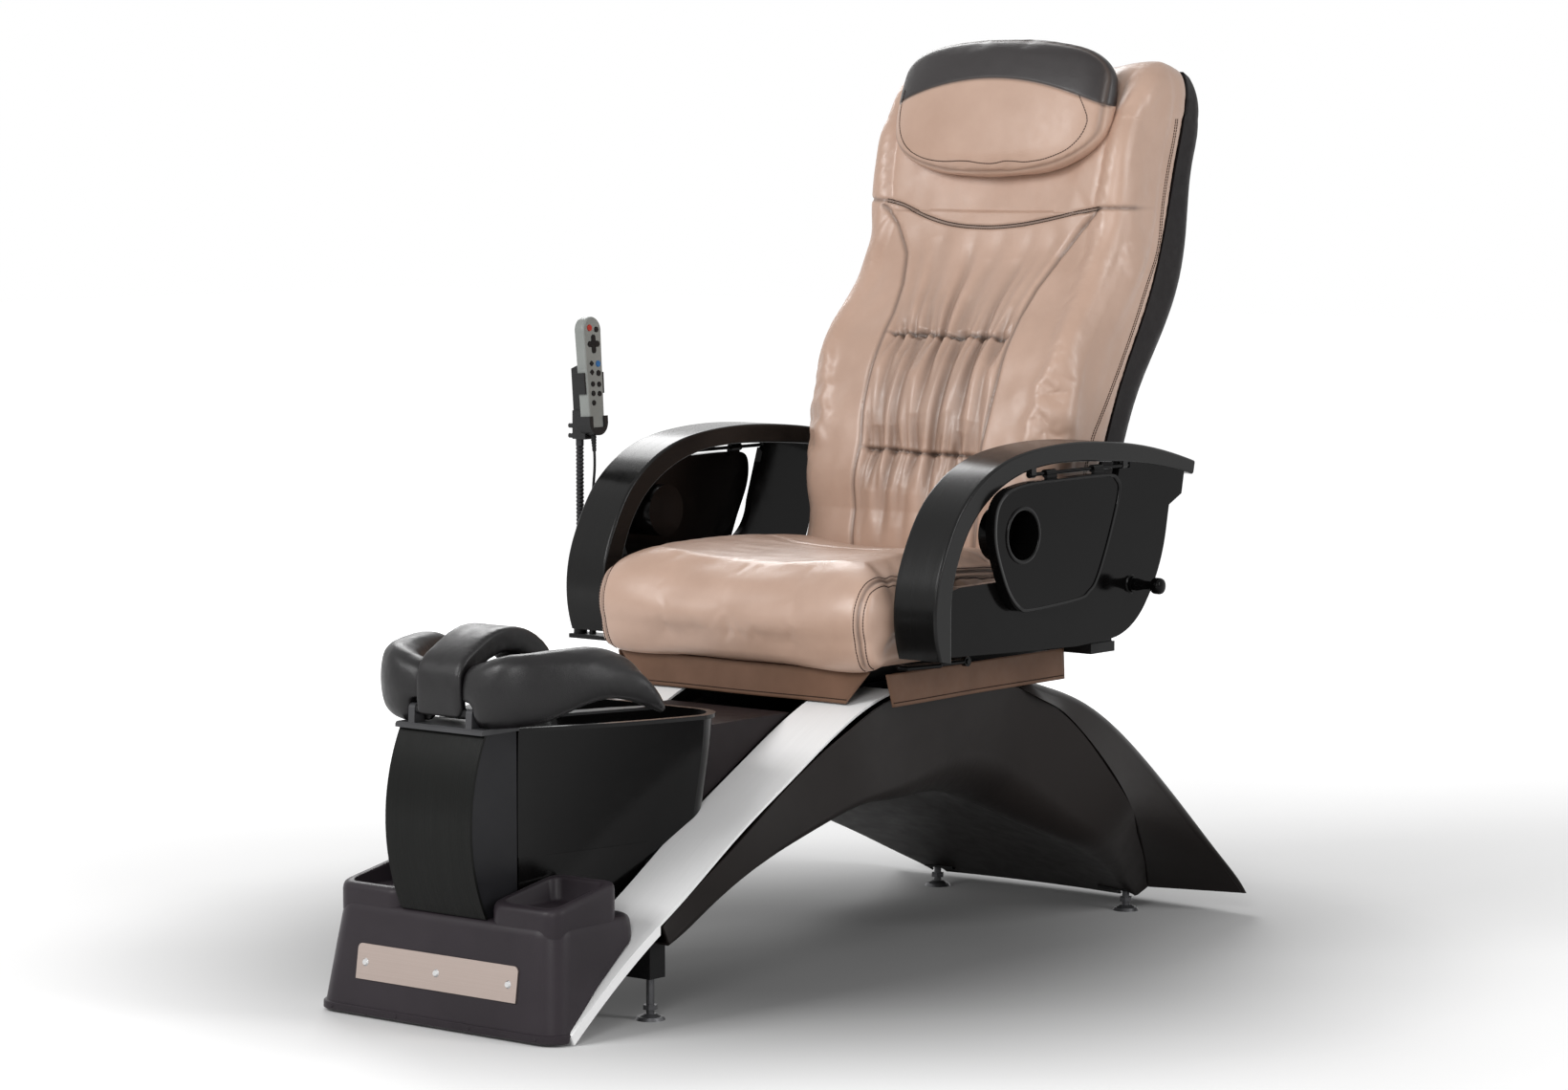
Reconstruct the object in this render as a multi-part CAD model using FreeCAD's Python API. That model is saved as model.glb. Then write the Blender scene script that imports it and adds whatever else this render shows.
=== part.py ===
import FreeCAD, Part
import math
import os
from FreeCAD import Vector

os.makedirs("parts", exist_ok=True)

# Pedicure spa chair, in millimetres. X is across the chair, Z is up, and the sitter looks
# along -Y. Places along Y are stations, counted from the toe of the base, and every piece
# is moved at the end so that the origin lies on the floor under the middle of the chair.

# Driving dimensions
STATION_OF_ORIGIN = 799.75
HALF_BAND = 240.0            # outer edge of the bright bands on the arch
BAND_INNER = 125.0           # inner edge of the same bands
BAND_WALL = 4.0
SHELL_WALL = 4.0
SEAM_GAP = 4.0
COLUMN_HALF = 80.0
COLUMN_FRONT = 24.0
COLUMN_BACK = 94.0
COLUMN_FOOT = 165.0
COLUMN_TOP = 430.0
PANEL_BOW = 32.0
RIM_TOP = 433.0
SEAT_HALF = 262.0
SEAT_BASE = 475.0
SEAT_TOP = 616.0
LEVER_PIVOT = (900.0, 471.0)
SEAT_FRONT = 652.0
SEAT_BACK = 1122.0
RAIL_X = 150.0
ARM_INNER = 289.0
ARM_OUTER = 370.0
ARM_PIVOT = (1222.0, 542.0)
RECLINE_PIVOT = (1185.0, 560.0)
RECLINE_TRAVEL = 30.0        # degrees
RAIL_ENDS = ((1236.0, 682.0), (1476.0, 1256.0))
RAIL_RADIUS = 8.0
RAIL_HALF = 95.0
CARRIAGE_REST = 150.0        # how far up the rails the massage carriage rests
CRANK_LENGTH = 110.0
DRIVE_AXIS_Z = 452.0
FOOTREST_PIVOT = (28.0, 458.0)
TRAY_AXIS_X = 366.0
TRAY_AXIS_Z = 760.0
CUP_RADIUS = 38.0
KNOB_AXIS = (1218.0, 571.0)
FOOT_PAD_RADIUS = 22.0
FOOT_X = 195.0
FRONT_FOOT_Y = 253.0
REAR_FOOT_Y = 1458.0
NECK_X = -418.0
NECK_Y = 795.0
NECK_RADIUS = 6.5
NECK_TOP = 812.0
HANDSET_CENTRE = (-391.0, 790.0, 893.0)
HANDSET_LEAN = 4.0
HANDSET_HALF = 93.5
HANDSET_THICK = 20.0
KEY_RISE = 1.2
KEY_DEPTH = 2.6
CORD_RADIUS = 2.25
BOOT_LENGTH = 30.0
BOOT_END = HANDSET_HALF - 1.0 + BOOT_LENGTH
CORD_GLAND = (-397.0, 801.0)
RUN = 0.05                   # running clearance on pins and shafts


# Small tools that the pieces share
def save(name, shape):
    moved = shape.copy()
    moved.translate(Vector(0, -STATION_OF_ORIGIN, 0))
    moved.exportStep("parts/" + name + ".step")
    print("%-22s solids %d volume %9.0f valid %s"
          % (name, len(moved.Solids), moved.Volume, moved.isValid()))


def block(x0, x1, y0, y1, z0, z1):
    return Part.makeBox(x1 - x0, y1 - y0, z1 - z0, Vector(x0, y0, z0))


def rod(start, end, radius):
    line = end.sub(start)
    return Part.makeCylinder(radius, line.Length, start, line)


def side_plate(points, x0, x1):
    """A flat outline in the YZ plane, given thickness along X."""
    corners = [Vector(x0, y, z) for y, z in points]
    face = Part.Face(Part.makePolygon(corners + [corners[0]]))
    return face.extrude(Vector(x1 - x0, 0, 0))


def curve(points, x):
    spline = Part.BSplineCurve()
    spline.interpolate([Vector(x, y, z) for y, z in points])
    return spline.toShape()


def ribbon(outer, inner, x0, x1):
    """A curved strap: two smooth lines in the YZ plane, closed at the ends."""
    first = curve(outer, x0)
    second = curve(list(reversed(inner)), x0)
    turn = Part.makeLine(Vector(x0, *outer[-1]), Vector(x0, *inner[-1]))
    close = Part.makeLine(Vector(x0, *inner[0]), Vector(x0, *outer[0]))
    face = Part.Face(Part.Wire([first, turn, second, close]))
    return face.extrude(Vector(x1 - x0, 0, 0))


def mirrored(shape):
    return shape.mirror(Vector(0, 0, 0), Vector(1, 0, 0))


def both_sides(shape):
    return shape, mirrored(shape)


def joined(shapes):
    whole = shapes[0]
    for piece in shapes[1:]:
        whole = whole.fuse(piece)
    return whole.removeSplitter()


def rounded_outline(half_x, y0, y1, z, radius):
    """A rectangle with rounded corners in a level plane."""
    r = radius
    k = r * (1 - math.sqrt(0.5))
    x = half_x
    p = [Vector(-x + r, y0, z), Vector(x - r, y0, z), Vector(x, y0 + r, z), Vector(x, y1 - r, z),
         Vector(x - r, y1, z), Vector(-x + r, y1, z), Vector(-x, y1 - r, z), Vector(-x, y0 + r, z)]
    bends = [Vector(x - k, y0 + k, z), Vector(x - k, y1 - k, z), Vector(-x + k, y1 - k, z),
             Vector(-x + k, y0 + k, z)]
    edges = []
    for i in range(4):
        edges.append(Part.makeLine(p[2 * i], p[2 * i + 1]))
        edges.append(Part.Arc(p[2 * i + 1], bends[i], p[(2 * i + 2) % 8]).toShape())
    return Part.Wire(edges)


def u_section(mouth, depth_point, half_mouth, half_corner, radius, rise, wall, start=0.0):
    """One cut through a moulded trough. The mouth and the floor are points (y, z) on the
    middle plane, and the section lies in the plane through them and the X axis."""
    ahead = Vector(0, depth_point[0] - mouth[0], depth_point[1] - mouth[1])
    depth = ahead.Length
    ahead.normalize()
    base = Vector(0, mouth[0], mouth[1])

    def place(x, d):
        return base.add(Vector(x, 0, 0)).add(Vector(ahead).multiply(d))

    def half(inset):
        flare = (half_corner - half_mouth) / (depth - start)
        aside = inset * math.hypot(1.0, flare)
        lip = Vector(half_mouth - aside, start, 0)
        corner = Vector(lip.x + (depth - inset - start) * flare, depth - inset, 0)
        r = max(radius - inset, 2.0)
        back = lip.sub(corner)
        back.normalize()
        b = corner.add(Vector(back).multiply(r))
        c = Vector(corner.x - r, corner.y, 0)
        m = Vector((b.x + 2 * corner.x + c.x) / 4, (b.y + 2 * corner.y + c.y) / 4, 0)
        return lip, b, m, c, depth - inset + rise

    def path(inset, sign):
        lip, b, m, c, middle = half(inset)
        return [place(sign * q.x, q.y) for q in (lip, b, m, c)], middle

    outer_right, outer_mid = path(0.0, 1)
    outer_left, _ = path(0.0, -1)
    inner_right, inner_mid = path(wall, 1)
    inner_left, _ = path(wall, -1)
    edges = [
        Part.makeLine(outer_right[0], outer_right[1]),
        Part.Arc(outer_right[1], outer_right[2], outer_right[3]).toShape(),
        Part.Arc(outer_right[3], place(0, outer_mid), outer_left[3]).toShape(),
        Part.Arc(outer_left[3], outer_left[2], outer_left[1]).toShape(),
        Part.makeLine(outer_left[1], outer_left[0]),
        Part.makeLine(outer_left[0], inner_left[0]),
        Part.makeLine(inner_left[0], inner_left[1]),
        Part.Arc(inner_left[1], inner_left[2], inner_left[3]).toShape(),
        Part.Arc(inner_left[3], place(0, inner_mid), inner_right[3]).toShape(),
        Part.Arc(inner_right[3], inner_right[2], inner_right[1]).toShape(),
        Part.makeLine(inner_right[1], inner_right[0]),
        Part.makeLine(inner_right[0], outer_right[0]),
    ]
    return Part.Wire(edges)


# The arch. Its upper line climbs from the toe, levels out under the seat and falls to the
# tail. Each station holds the mouth (y, z), the floor (y, z), the half widths at mouth and
# corner, the corner radius and how far the floor is drawn in at the middle.
ARCH_TOP = [(32, 11), (100, 64), (169, 112), (263, 167), (408, 258), (518, 319), (620, 374), (700, 410),
            (780, 430),
            (880, 436), (1000, 430)]
ARCH_STATIONS = [
    ((230, 144), (249, 113), 240, 237, 6, -3),
    ((330, 206), (357, 163), 240, 237, 8, -5),
    ((464, 286), (503, 218), 242, 238, 10, -8),
    ((600, 361), (655, 256), 246, 240, 16, -12),
    ((740, 420), (792, 260), 251, 238, 36, -20),
    ((870, 436), (884, 257), 257, 234, 60, -26),
    ((985, 430), (962, 252), 262, 234, 70, -28),
    ((1055, 414), (1014, 240), 264, 238, 70, -28),
    ((1150, 368), (1070, 216), 281, 250, 64, -26),
    ((1204, 313), (1125, 188), 301, 266, 52, -22),
    ((1253, 242), (1190, 156), 323, 284, 38, -18),
    ((1324, 172), (1275, 118), 306, 276, 26, -14),
    ((1402, 112), (1364, 74), 266, 246, 18, -10),
    ((1448, 72), (1420, 46), 241, 226, 12, -7),
    ((1480, 38), (1462, 24), 223, 213, 7, -4),
]
# The tail cover closes the back of the arch. Each station holds the seam (y, z), the outer
# corner (y, z), the half widths at both, the corner radius and the bulge of the back.
TAIL_STATIONS = [
    ((1062, 411), (1094, 424), 265, 261, 10, 4),
    ((1150, 368), (1198, 391), 281, 268, 22, 8),
    ((1204, 313), (1292, 342), 301, 284, 30, 12),
    ((1253, 242), (1367, 274), 323, 306, 34, 16),
    ((1324, 172), (1442, 180), 306, 340, 30, 18),
    ((1402, 112), (1502, 104), 266, 362, 24, 18),
    ((1448, 72), (1534, 67), 241, 370, 20, 18),
    ((1480, 38), (1558, 33), 223, 375, 16, 18),
]


def arch_cover():
    """Dark moulded trough that runs from the front leg to the rear leg. Its flanks have a
    sharp lower edge in front, which melts into the hollow face of the rear leg."""
    cuts = [u_section(m, f, hm, hc, r, rise, SHELL_WALL) for m, f, hm, hc, r, rise in ARCH_STATIONS]
    cover = Part.makeLoft(cuts, True, False)
    for side in (1, -1):
        cover = cover.cut(rod(Vector(side * FOOT_X, REAR_FOOT_Y, -5),
                              Vector(side * FOOT_X, REAR_FOOT_Y, 90), 15.0))
        cover = cover.cut(side_block(side, 148, FOOT_X + 16, 225, 274, 60, 126))
    return cover


def tail_cover():
    """The fishtail: it leaves the seam under the seat and flares to the floor."""
    cuts = [u_section(m, f, hm, hc, r, rise, SHELL_WALL, SEAM_GAP)
            for m, f, hm, hc, r, rise in TAIL_STATIONS]
    return Part.makeLoft(cuts, True, False)


def under_arch_top(lift):
    """Everything below the upper line of the arch, to trim what stands on it."""
    top = [(y, z + lift) for y, z in ARCH_TOP]
    line = curve(top, -300.0)
    first = Vector(-300.0, *top[0])
    last = Vector(-300.0, *top[-1])
    low_last = Vector(-300.0, top[-1][0], -60.0)
    low_first = Vector(-300.0, top[0][0] - 40.0, -60.0)
    high_first = Vector(-300.0, top[0][0] - 40.0, top[0][1] - 32.0)
    sides = [Part.makeLine(last, low_last), Part.makeLine(low_last, low_first),
             Part.makeLine(low_first, high_first),
             Part.makeLine(high_first, first)]
    return Part.Face(Part.Wire([line] + sides)).extrude(Vector(600.0, 0, 0))


def trim_bands():
    """Two bright bands on the arch, drawn to a point at the toe of the base."""
    top = [(y, z + BAND_WALL + 1.0) for y, z in ARCH_TOP[:9]]
    low = [(y, z + 1.0) for y, z in ARCH_TOP[:9]]
    band = ribbon(top, low, BAND_INNER, HALF_BAND)
    taper = [(BAND_INNER - 5, 0), (HALF_BAND - 5, 0), (HALF_BAND - 5, 34), (206, 75), (171, 152),
             (148, 195),
             (BAND_INNER, 250), (BAND_INNER - 5, 250)]
    corners = [Vector(x, y, 0) for x, y in taper]
    cutter = Part.Face(Part.makePolygon(corners + [corners[0]])).extrude(Vector(0, 0, 400))
    band = band.cut(cutter)
    lip_top = [(y, z + 0.9) for y, z in ARCH_TOP[:4]]
    lip_low = [(y + 5, z - 10.0) for y, z in ARCH_TOP[:4]]
    lip = ribbon(lip_top, lip_low, HALF_BAND - 4, HALF_BAND)
    lip = lip.cut(block(HALF_BAND - 10, HALF_BAND + 10, 224, 400, 0, 400))
    return Part.makeCompound(both_sides(joined([band, lip.copy()])))


def centre_line(share):
    """Points inside the trough, part of the way from its mouth to its floor."""
    points = []
    for mouth, floor, _, _, _, _ in ARCH_STATIONS[:-1]:
        y = mouth[0] + share * (floor[0] - mouth[0])
        z = mouth[1] + share * (floor[1] - mouth[1])
        points.append((y, z))
    return points


def base_frame():
    """Welded steel inside the covers: two bent beams, cross bars, posts under the seat plate
    and the four blocks that hold the levelling feet."""
    beams = []
    upper = centre_line(0.22)
    lower = centre_line(0.52)
    for x0 in (140.0, -165.0):
        beams.append(side_plate(upper + list(reversed(lower)), x0, x0 + 25.0))
    for k in (1, 3, 6, 8, 10, 12):
        y = (upper[k][0] + lower[k][0]) / 2
        z = (upper[k][1] + lower[k][1]) / 2
        beams.append(rod(Vector(-141, y, z), Vector(141, y, z), 7.0))
    for y in (800.0, 960.0):
        for x0 in (140.0, -165.0):
            beams.append(block(x0, x0 + 25.0, y, y + 40.0, 380.0, 437.0))
    for side in (1, -1):
        inner = side * 150.0
        outer = side * (FOOT_X + 14.0)
        x0 = min(inner, outer)
        x1 = max(inner, outer)
        front = side_plate([(236, 140), (236, 62), (270, 62), (270, 152)], x0, x1)
        beams.append(front)
        rear = block(x0, x1, REAR_FOOT_Y - 18, REAR_FOOT_Y + 14, 34, 62)
        strut = side_plate([(1402, 102), (1440, 62), (1440, 40), (1472, 40), (1472, 62), (1430, 98)],
                           min(inner, inner - side * 10), max(inner, inner - side * 10))
        beams.append(rear)
        beams.append(strut)
    frame = joined(beams)
    for side in (1, -1):
        for y in (FRONT_FOOT_Y, REAR_FOOT_Y):
            frame = frame.cut(rod(Vector(side * FOOT_X, y, 20), Vector(side * FOOT_X, y, 90), 6.0 + RUN))
    return frame


def levelling_foot(x, y, top):
    """Threaded stud, lock nut and round pad: the whole foot turns to set the height."""
    pad = Part.makeCone(FOOT_PAD_RADIUS, FOOT_PAD_RADIUS - 3, 5, Vector(x, y, 0))
    neck = Part.makeCone(FOOT_PAD_RADIUS - 6, 9, 4, Vector(x, y, 5))
    stud = Part.makeCylinder(6.0, top - 8, Vector(x, y, 8))
    ring = []
    for k in range(6):
        angle = math.radians(60 * k)
        ring.append(Vector(x + 11 * math.cos(angle), y + 11 * math.sin(angle), 15))
    nut = Part.Face(Part.makePolygon(ring + [ring[0]])).extrude(Vector(0, 0, 7))
    return joined([pad, neck, stud, nut])


def front_base():
    """Moulded tub at the toe, with a raised tray block on each side of the column."""
    outer = Part.makeLoft([rounded_outline(234, 0, 200, 12, 26), rounded_outline(223, 13, 205, 105, 28),
                           rounded_outline(215, 22, 208, COLUMN_FOOT, 30)], True, True)
    inner = Part.makeLoft([rounded_outline(230, 4, 196, 8, 22), rounded_outline(219, 17, 201, 105, 24),
                           rounded_outline(211, 26, 204, COLUMN_FOOT - 5, 26)], True, True)
    tub = outer.cut(inner)
    low = [Vector(87, 19, 158), Vector(217, 19, 158), Vector(217, 168, 158), Vector(87, 168, 158)]
    high = [Vector(87, 26, 190), Vector(211, 26, 190), Vector(208, 160, 217), Vector(87, 160, 217)]
    raised = Part.makeLoft([Part.makePolygon(low + [low[0]]), Part.makePolygon(high + [high[0]])], True,
                           True)
    rims = [e for e in raised.Edges if e.BoundBox.ZMax > 186 and e.BoundBox.XMax > 90]
    raised = raised.makeFillet(7.0, rims)
    mouth = rounded_outline(42, 48, 138, 240, 14)
    floor = rounded_outline(38, 52, 134, 176, 12)
    pocket = Part.makeLoft([floor, mouth], True, True)
    pocket.translate(Vector(148, 0, 0))
    blocks = both_sides(raised.cut(pocket))
    whole = joined([tub] + list(blocks))
    whole = whole.cut(under_arch_top(BAND_WALL + 2.0))
    return whole.cut(block(-COLUMN_HALF, COLUMN_HALF, 60, 300, 8, 150))


def kick_plate():
    half = 157.0
    low = 56.0
    high = 108.0
    r = 8.0
    edges = [Part.makeLine(Vector(-half, 0, low), Vector(half, 0, low)),
             Part.makeLine(Vector(half, 0, low), Vector(half, 0, high - r)),
             Part.Arc(Vector(half, 0, high - r), Vector(half - r * 0.3, 0, high - r * 0.3),
                      Vector(half - r, 0, high)).toShape(),
             Part.makeLine(Vector(half - r, 0, high), Vector(-half + r, 0, high)),
             Part.Arc(Vector(-half + r, 0, high), Vector(-half + r * 0.3, 0, high - r * 0.3),
                      Vector(-half, 0, high - r)).toShape(),
             Part.makeLine(Vector(-half, 0, high - r), Vector(-half, 0, low))]
    plate = Part.Face(Part.Wire(edges)).extrude(Vector(0, -2.0, 0))
    for x in (-140, 0, 140):
        plate = plate.cut(rod(Vector(x, -5, 81), Vector(x, 5, 81), 3.1))
    return on_base_face(plate)


def on_base_face(shape):
    """Lays a piece that was drawn upright against the leaning front of the tub."""
    lean = math.degrees(math.atan2(13.0, 93.0))
    laid = shape.copy()
    laid.rotate(Vector(0, 0, 12), Vector(1, 0, 0), -lean)
    laid.translate(Vector(0, -0.3, 0))
    return laid


def plate_screws():
    screws = []
    for x in (-140, 0, 140):
        head = Part.makeCone(6.0, 4.0, 2.2, Vector(x, -2.1, 81), Vector(0, -1, 0))
        shank = rod(Vector(x, -2.1, 81), Vector(x, 0, 81), 3.0)
        screws.append(on_base_face(joined([head, shank])))
    return Part.makeCompound(screws)


def bowed(y_foot, y_top, bow):
    z_mid = (COLUMN_FOOT + COLUMN_TOP) / 2
    return [Vector(0, y_foot, COLUMN_FOOT), Vector(0, (y_foot + y_top) / 2 - bow, z_mid),
            Vector(0, y_top, COLUMN_TOP)]


def footrest_column():
    """Hollow post, bowed in front, that carries the footrest."""
    a, m, b = bowed(COLUMN_FRONT + 5, COLUMN_FRONT + 5, PANEL_BOW)
    edges = [Part.Arc(a, m, b).toShape(), Part.makeLine(b, Vector(0, COLUMN_BACK, COLUMN_TOP)),
             Part.makeLine(Vector(0, COLUMN_BACK, COLUMN_TOP), Vector(0, COLUMN_BACK, COLUMN_FOOT)),
             Part.makeLine(Vector(0, COLUMN_BACK, COLUMN_FOOT), a)]
    post = Part.Face(Part.Wire(edges)).extrude(Vector(2 * COLUMN_HALF, 0, 0))
    post.translate(Vector(-COLUMN_HALF, 0, 0))
    return post.cut(block(-COLUMN_HALF + 5, COLUMN_HALF - 5, 34, COLUMN_BACK - 5, COLUMN_FOOT - 1,
                          COLUMN_TOP - 6))


def column_panel():
    """Curved face plate of the post."""
    half = 83.0
    a, m, b = bowed(COLUMN_FRONT + 4.6, COLUMN_FRONT + 4.6, PANEL_BOW)
    c, n, d = bowed(COLUMN_FRONT, COLUMN_FRONT, PANEL_BOW)
    edges = [Part.Arc(a, m, b).toShape(), Part.makeLine(b, d), Part.Arc(d, n, c).toShape(),
             Part.makeLine(c, a)]
    panel = Part.Face(Part.Wire(edges)).extrude(Vector(2 * half, 0, 0))
    panel.translate(Vector(-half, 0, 0))
    return panel


def column_cap():
    """Head of the post with two lugs and the hinge pin of the footrest."""
    y, z = FOOTREST_PIVOT
    cap = side_plate([(16, COLUMN_TOP), (95, COLUMN_TOP), (95, 435), (91, 438), (19, 438), (16, 435)],
                     -85, 85)
    lugs = []
    for x0 in (-62.0, 50.0):
        lug = side_plate([(y - 9, 438), (y + 14, 438), (y + 8, z), (y - 8, z)], x0, x0 + 12)
        lugs.append(lug.fuse(rod(Vector(x0, y, z), Vector(x0 + 12, y, z), 8.0)))
    pin = rod(Vector(-62, y, z), Vector(62, y, z), 4.0)
    return joined([cap] + lugs + [pin])


def footrest_carrier():
    """Steel plate under the pads, with the barrel that turns on the cap's pin."""
    y, z = FOOTREST_PIVOT
    barrel = rod(Vector(-49, y, z), Vector(49, y, z), 7.5)
    tongue = side_plate([(y, z - 5), (100, z - 5), (100, z - 1), (y, z - 1)], -46, 46)
    arms = []
    for side in (1, -1):
        corners = [(30, 66), (96, 66), (140, 100), (176, 210), (196, 262), (176, 262), (150, 212),
                   (116, 112),
                   (92, 92), (30, 92)]
        face = Part.Face(Part.makePolygon([Vector(side * a, b, z - 5) for a, b in corners + [corners[0]]]))
        arms.append(face.extrude(Vector(0, 0, 4)))
    rail = side_plate([(96, z - 5), (238, z - 5), (238, z + 4), (232, z + 4), (226, z - 1), (96, z - 1)],
                      -20, 20)
    plate = joined([barrel, tongue, rail] + arms)
    return plate.cut(rod(Vector(-70, y, z), Vector(70, y, z), 4.0 + RUN))


def ring_section(points):
    """A closed wire of arcs: every second point bends the arc between its neighbours."""
    edges = []
    count = len(points)
    for i in range(0, count, 2):
        edges.append(Part.Arc(points[i], points[i + 1], points[(i + 2) % count]).toShape())
    return Part.Wire(edges)


def cushion_cut(centre, across, up, half_w, half_h, full):
    """Pillow-like cut: four arcs, flatter along the long sides, with drawn-in corners."""
    a = Vector(across).multiply(half_w)
    b = Vector(up).multiply(half_h)
    ca = Vector(across).multiply(half_w * 0.86)
    cb = Vector(up).multiply(half_h * 0.72)
    sw = Vector(across).multiply(half_w * full)
    sh = Vector(up).multiply(half_h * full)
    p = [centre.sub(ca).sub(cb), centre.sub(b).sub(sh), centre.add(ca).sub(cb), centre.add(a).add(sw),
         centre.add(ca).add(cb), centre.add(b).add(sh), centre.sub(ca).add(cb), centre.sub(a).sub(sw)]
    return ring_section(p)


def footrest_wing(side):
    """One horn of the horseshoe pad, swept round from the middle to the side of the basin."""
    path = [(50, 44, 447, 516, 24), (78, 44, 445, 520, 28), (108, 56, 443, 522, 30),
            (134, 88, 446, 523, 31),
            (154, 130, 460, 526, 32), (171, 178, 472, 526, 31), (186, 226, 466, 512, 26),
            (199, 276, 446, 462, 12)]
    cuts = []
    for i, (x, y, low, high, half) in enumerate(path):
        before = path[max(i - 1, 0)]
        after = path[min(i + 1, len(path) - 1)]
        along = Vector(after[0] - before[0], after[1] - before[1], 0)
        along.normalize()
        across = Vector(along.y, -along.x, 0)
        centre = Vector(x, y, (low + high) / 2)
        cuts.append(cushion_cut(centre, across, Vector(0, 0, 1), half, (high - low) / 2, 0.03))
    wing = Part.makeLoft(cuts, True, False)
    y, z = FOOTREST_PIVOT
    wing = wing.cut(rod(Vector(40, y, z), Vector(65, y, z), 18.0))
    return wing if side > 0 else mirrored(wing)


def footrest_wings(carrier):
    wings = [footrest_wing(side).cut(carrier) for side in (1, -1)]
    return Part.makeCompound(wings)


def footrest_strap(carrier):
    """Arched strap over the middle: a straight front lip that rises to a crest and comes
    down again behind, so that an open bridge is left below it."""
    outer = [(16, 461), (14, 500), (22, 528), (50, 549), (85, 567), (118, 574), (150, 571), (186, 556),
             (217, 524),
             (236, 470)]
    inner = [(38, 461), (35, 498), (42, 513), (62, 529), (92, 546), (119, 552), (145, 549), (172, 536),
             (197, 510),
             (214, 470)]
    strap = ribbon(outer, inner, -44, 44)
    long_edges = [e for e in strap.Edges if e.BoundBox.XLength < 0.1 and e.BoundBox.YLength > 100]
    strap = strap.makeFillet(5.0, long_edges)
    y, z = FOOTREST_PIVOT
    return strap.cut(carrier).cut(rod(Vector(-50, y, z), Vector(50, y, z), 7.5))


def basin_outline(front, waist, widest, back, corner, front_y, back_y, z, grow=0.0):
    """Level outline of the basin: it leaves the post, swells and closes with round corners."""
    g = grow
    f = front + g
    w = widest + g
    y0 = front_y - g
    y1 = back_y + g
    ys = y1 - corner
    k = corner * 0.3
    right = [Vector(f, y0, z), Vector(waist + g, (y0 + ys) / 2, z), Vector(w, ys, z)]
    bend = [Vector(w, ys, z), Vector(w - k, y1 - k, z), Vector(w - corner, y1, z)]
    edges = [Part.makeLine(Vector(-f, y0, z), Vector(f, y0, z)), Part.Arc(*right).toShape(),
             Part.Arc(*bend).toShape(),
             Part.makeLine(bend[2], Vector(-bend[2].x, y1, z)),
             Part.Arc(Vector(-bend[2].x, y1, z), Vector(-bend[1].x, bend[1].y, z),
                      Vector(-w, ys, z)).toShape(),
             Part.Arc(Vector(-w, ys, z), Vector(-right[1].x, right[1].y, z), Vector(-f, y0, z)).toShape()]
    return Part.Wire(edges)


def basin():
    """Bowl between the post and the seat: its wall leans out to the rim and is cut to the
    slope of the arch below."""
    front_y = COLUMN_BACK + 2.0
    outer = Part.makeLoft([basin_outline(80, 108, 122, 0, 40, front_y, 470, 60),
                           basin_outline(80, 116, 132, 0, 46, front_y, 466, 250),
                           basin_outline(81, 142, 176, 0, 52, front_y, 446, 385),
                           basin_outline(82, 150, 194, 0, 56, front_y, 432, RIM_TOP - 6)], True, False)
    bowl = Part.makeLoft([basin_outline(60, 80, 92, 0, 40, front_y + 22, 396, 296),
                          basin_outline(72, 128, 158, 0, 46, front_y + 8, 424, 380),
                          basin_outline(76, 144, 187, 0, 52, front_y + 6, 426, RIM_TOP + 4)], True, False)
    rim = Part.Face(basin_outline(83, 153, 198, 0, 58, front_y, 436, RIM_TOP - 6)).extrude(Vector(0, 0, 6))
    body = joined([outer, rim]).cut(bowl)
    body = body.cut(under_arch_top(BAND_WALL + 1.6))
    return body.cut(block(-240, 240, 90, 214, 0, 232))


def basin_drain():
    """Strainer that sits in the drain at the bottom of the bowl."""
    cup = Part.makeCylinder(24, 4, Vector(0, 280, 296.2))
    for k in range(6):
        angle = math.radians(60 * k)
        cup = cup.cut(Part.makeCylinder(3.2, 8, Vector(13 * math.cos(angle), 280 + 13 * math.sin(angle),
                                                       294)))
    return cup


def pump_housing(bowl):
    """Cover between the basin and the seat, over the pump and the pipes."""
    side = side_plate([(442, 270), (442, 374), (452, 396), (480, 402), (690, 402), (690, 300)], -121, 121)
    side = side.cut(under_arch_top(BAND_WALL + 1.6))
    hollow = side_plate([(447, 300), (447, 372), (456, 391), (482, 397), (684, 397), (684, 300)], -116, 116)
    hollow = hollow.cut(under_arch_top(BAND_WALL + 6.0))
    return side.cut(hollow).cut(bowl)


def seat_plate():
    """Plate on the posts of the frame, with the two lower slide rails."""
    plate = block(-185, 185, 724, 1112, 437, 441)
    plate = plate.cut(block(-70, 70, 760, 1084, 430, 450))
    plate = plate.cut(block(-14, 14, 1080, 1120, 430, 450))
    rails = []
    for x in (RAIL_X, -RAIL_X):
        rail = block(x - 20, x + 20, 724, 1070, 441, 457)
        rail = rail.cut(block(x - 17, x + 17, 700, 1080, 444, 454))
        rails.append(rail.cut(block(x - 9, x + 9, 700, 1080, 450, 460)))
    return joined([plate] + rails)


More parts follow.
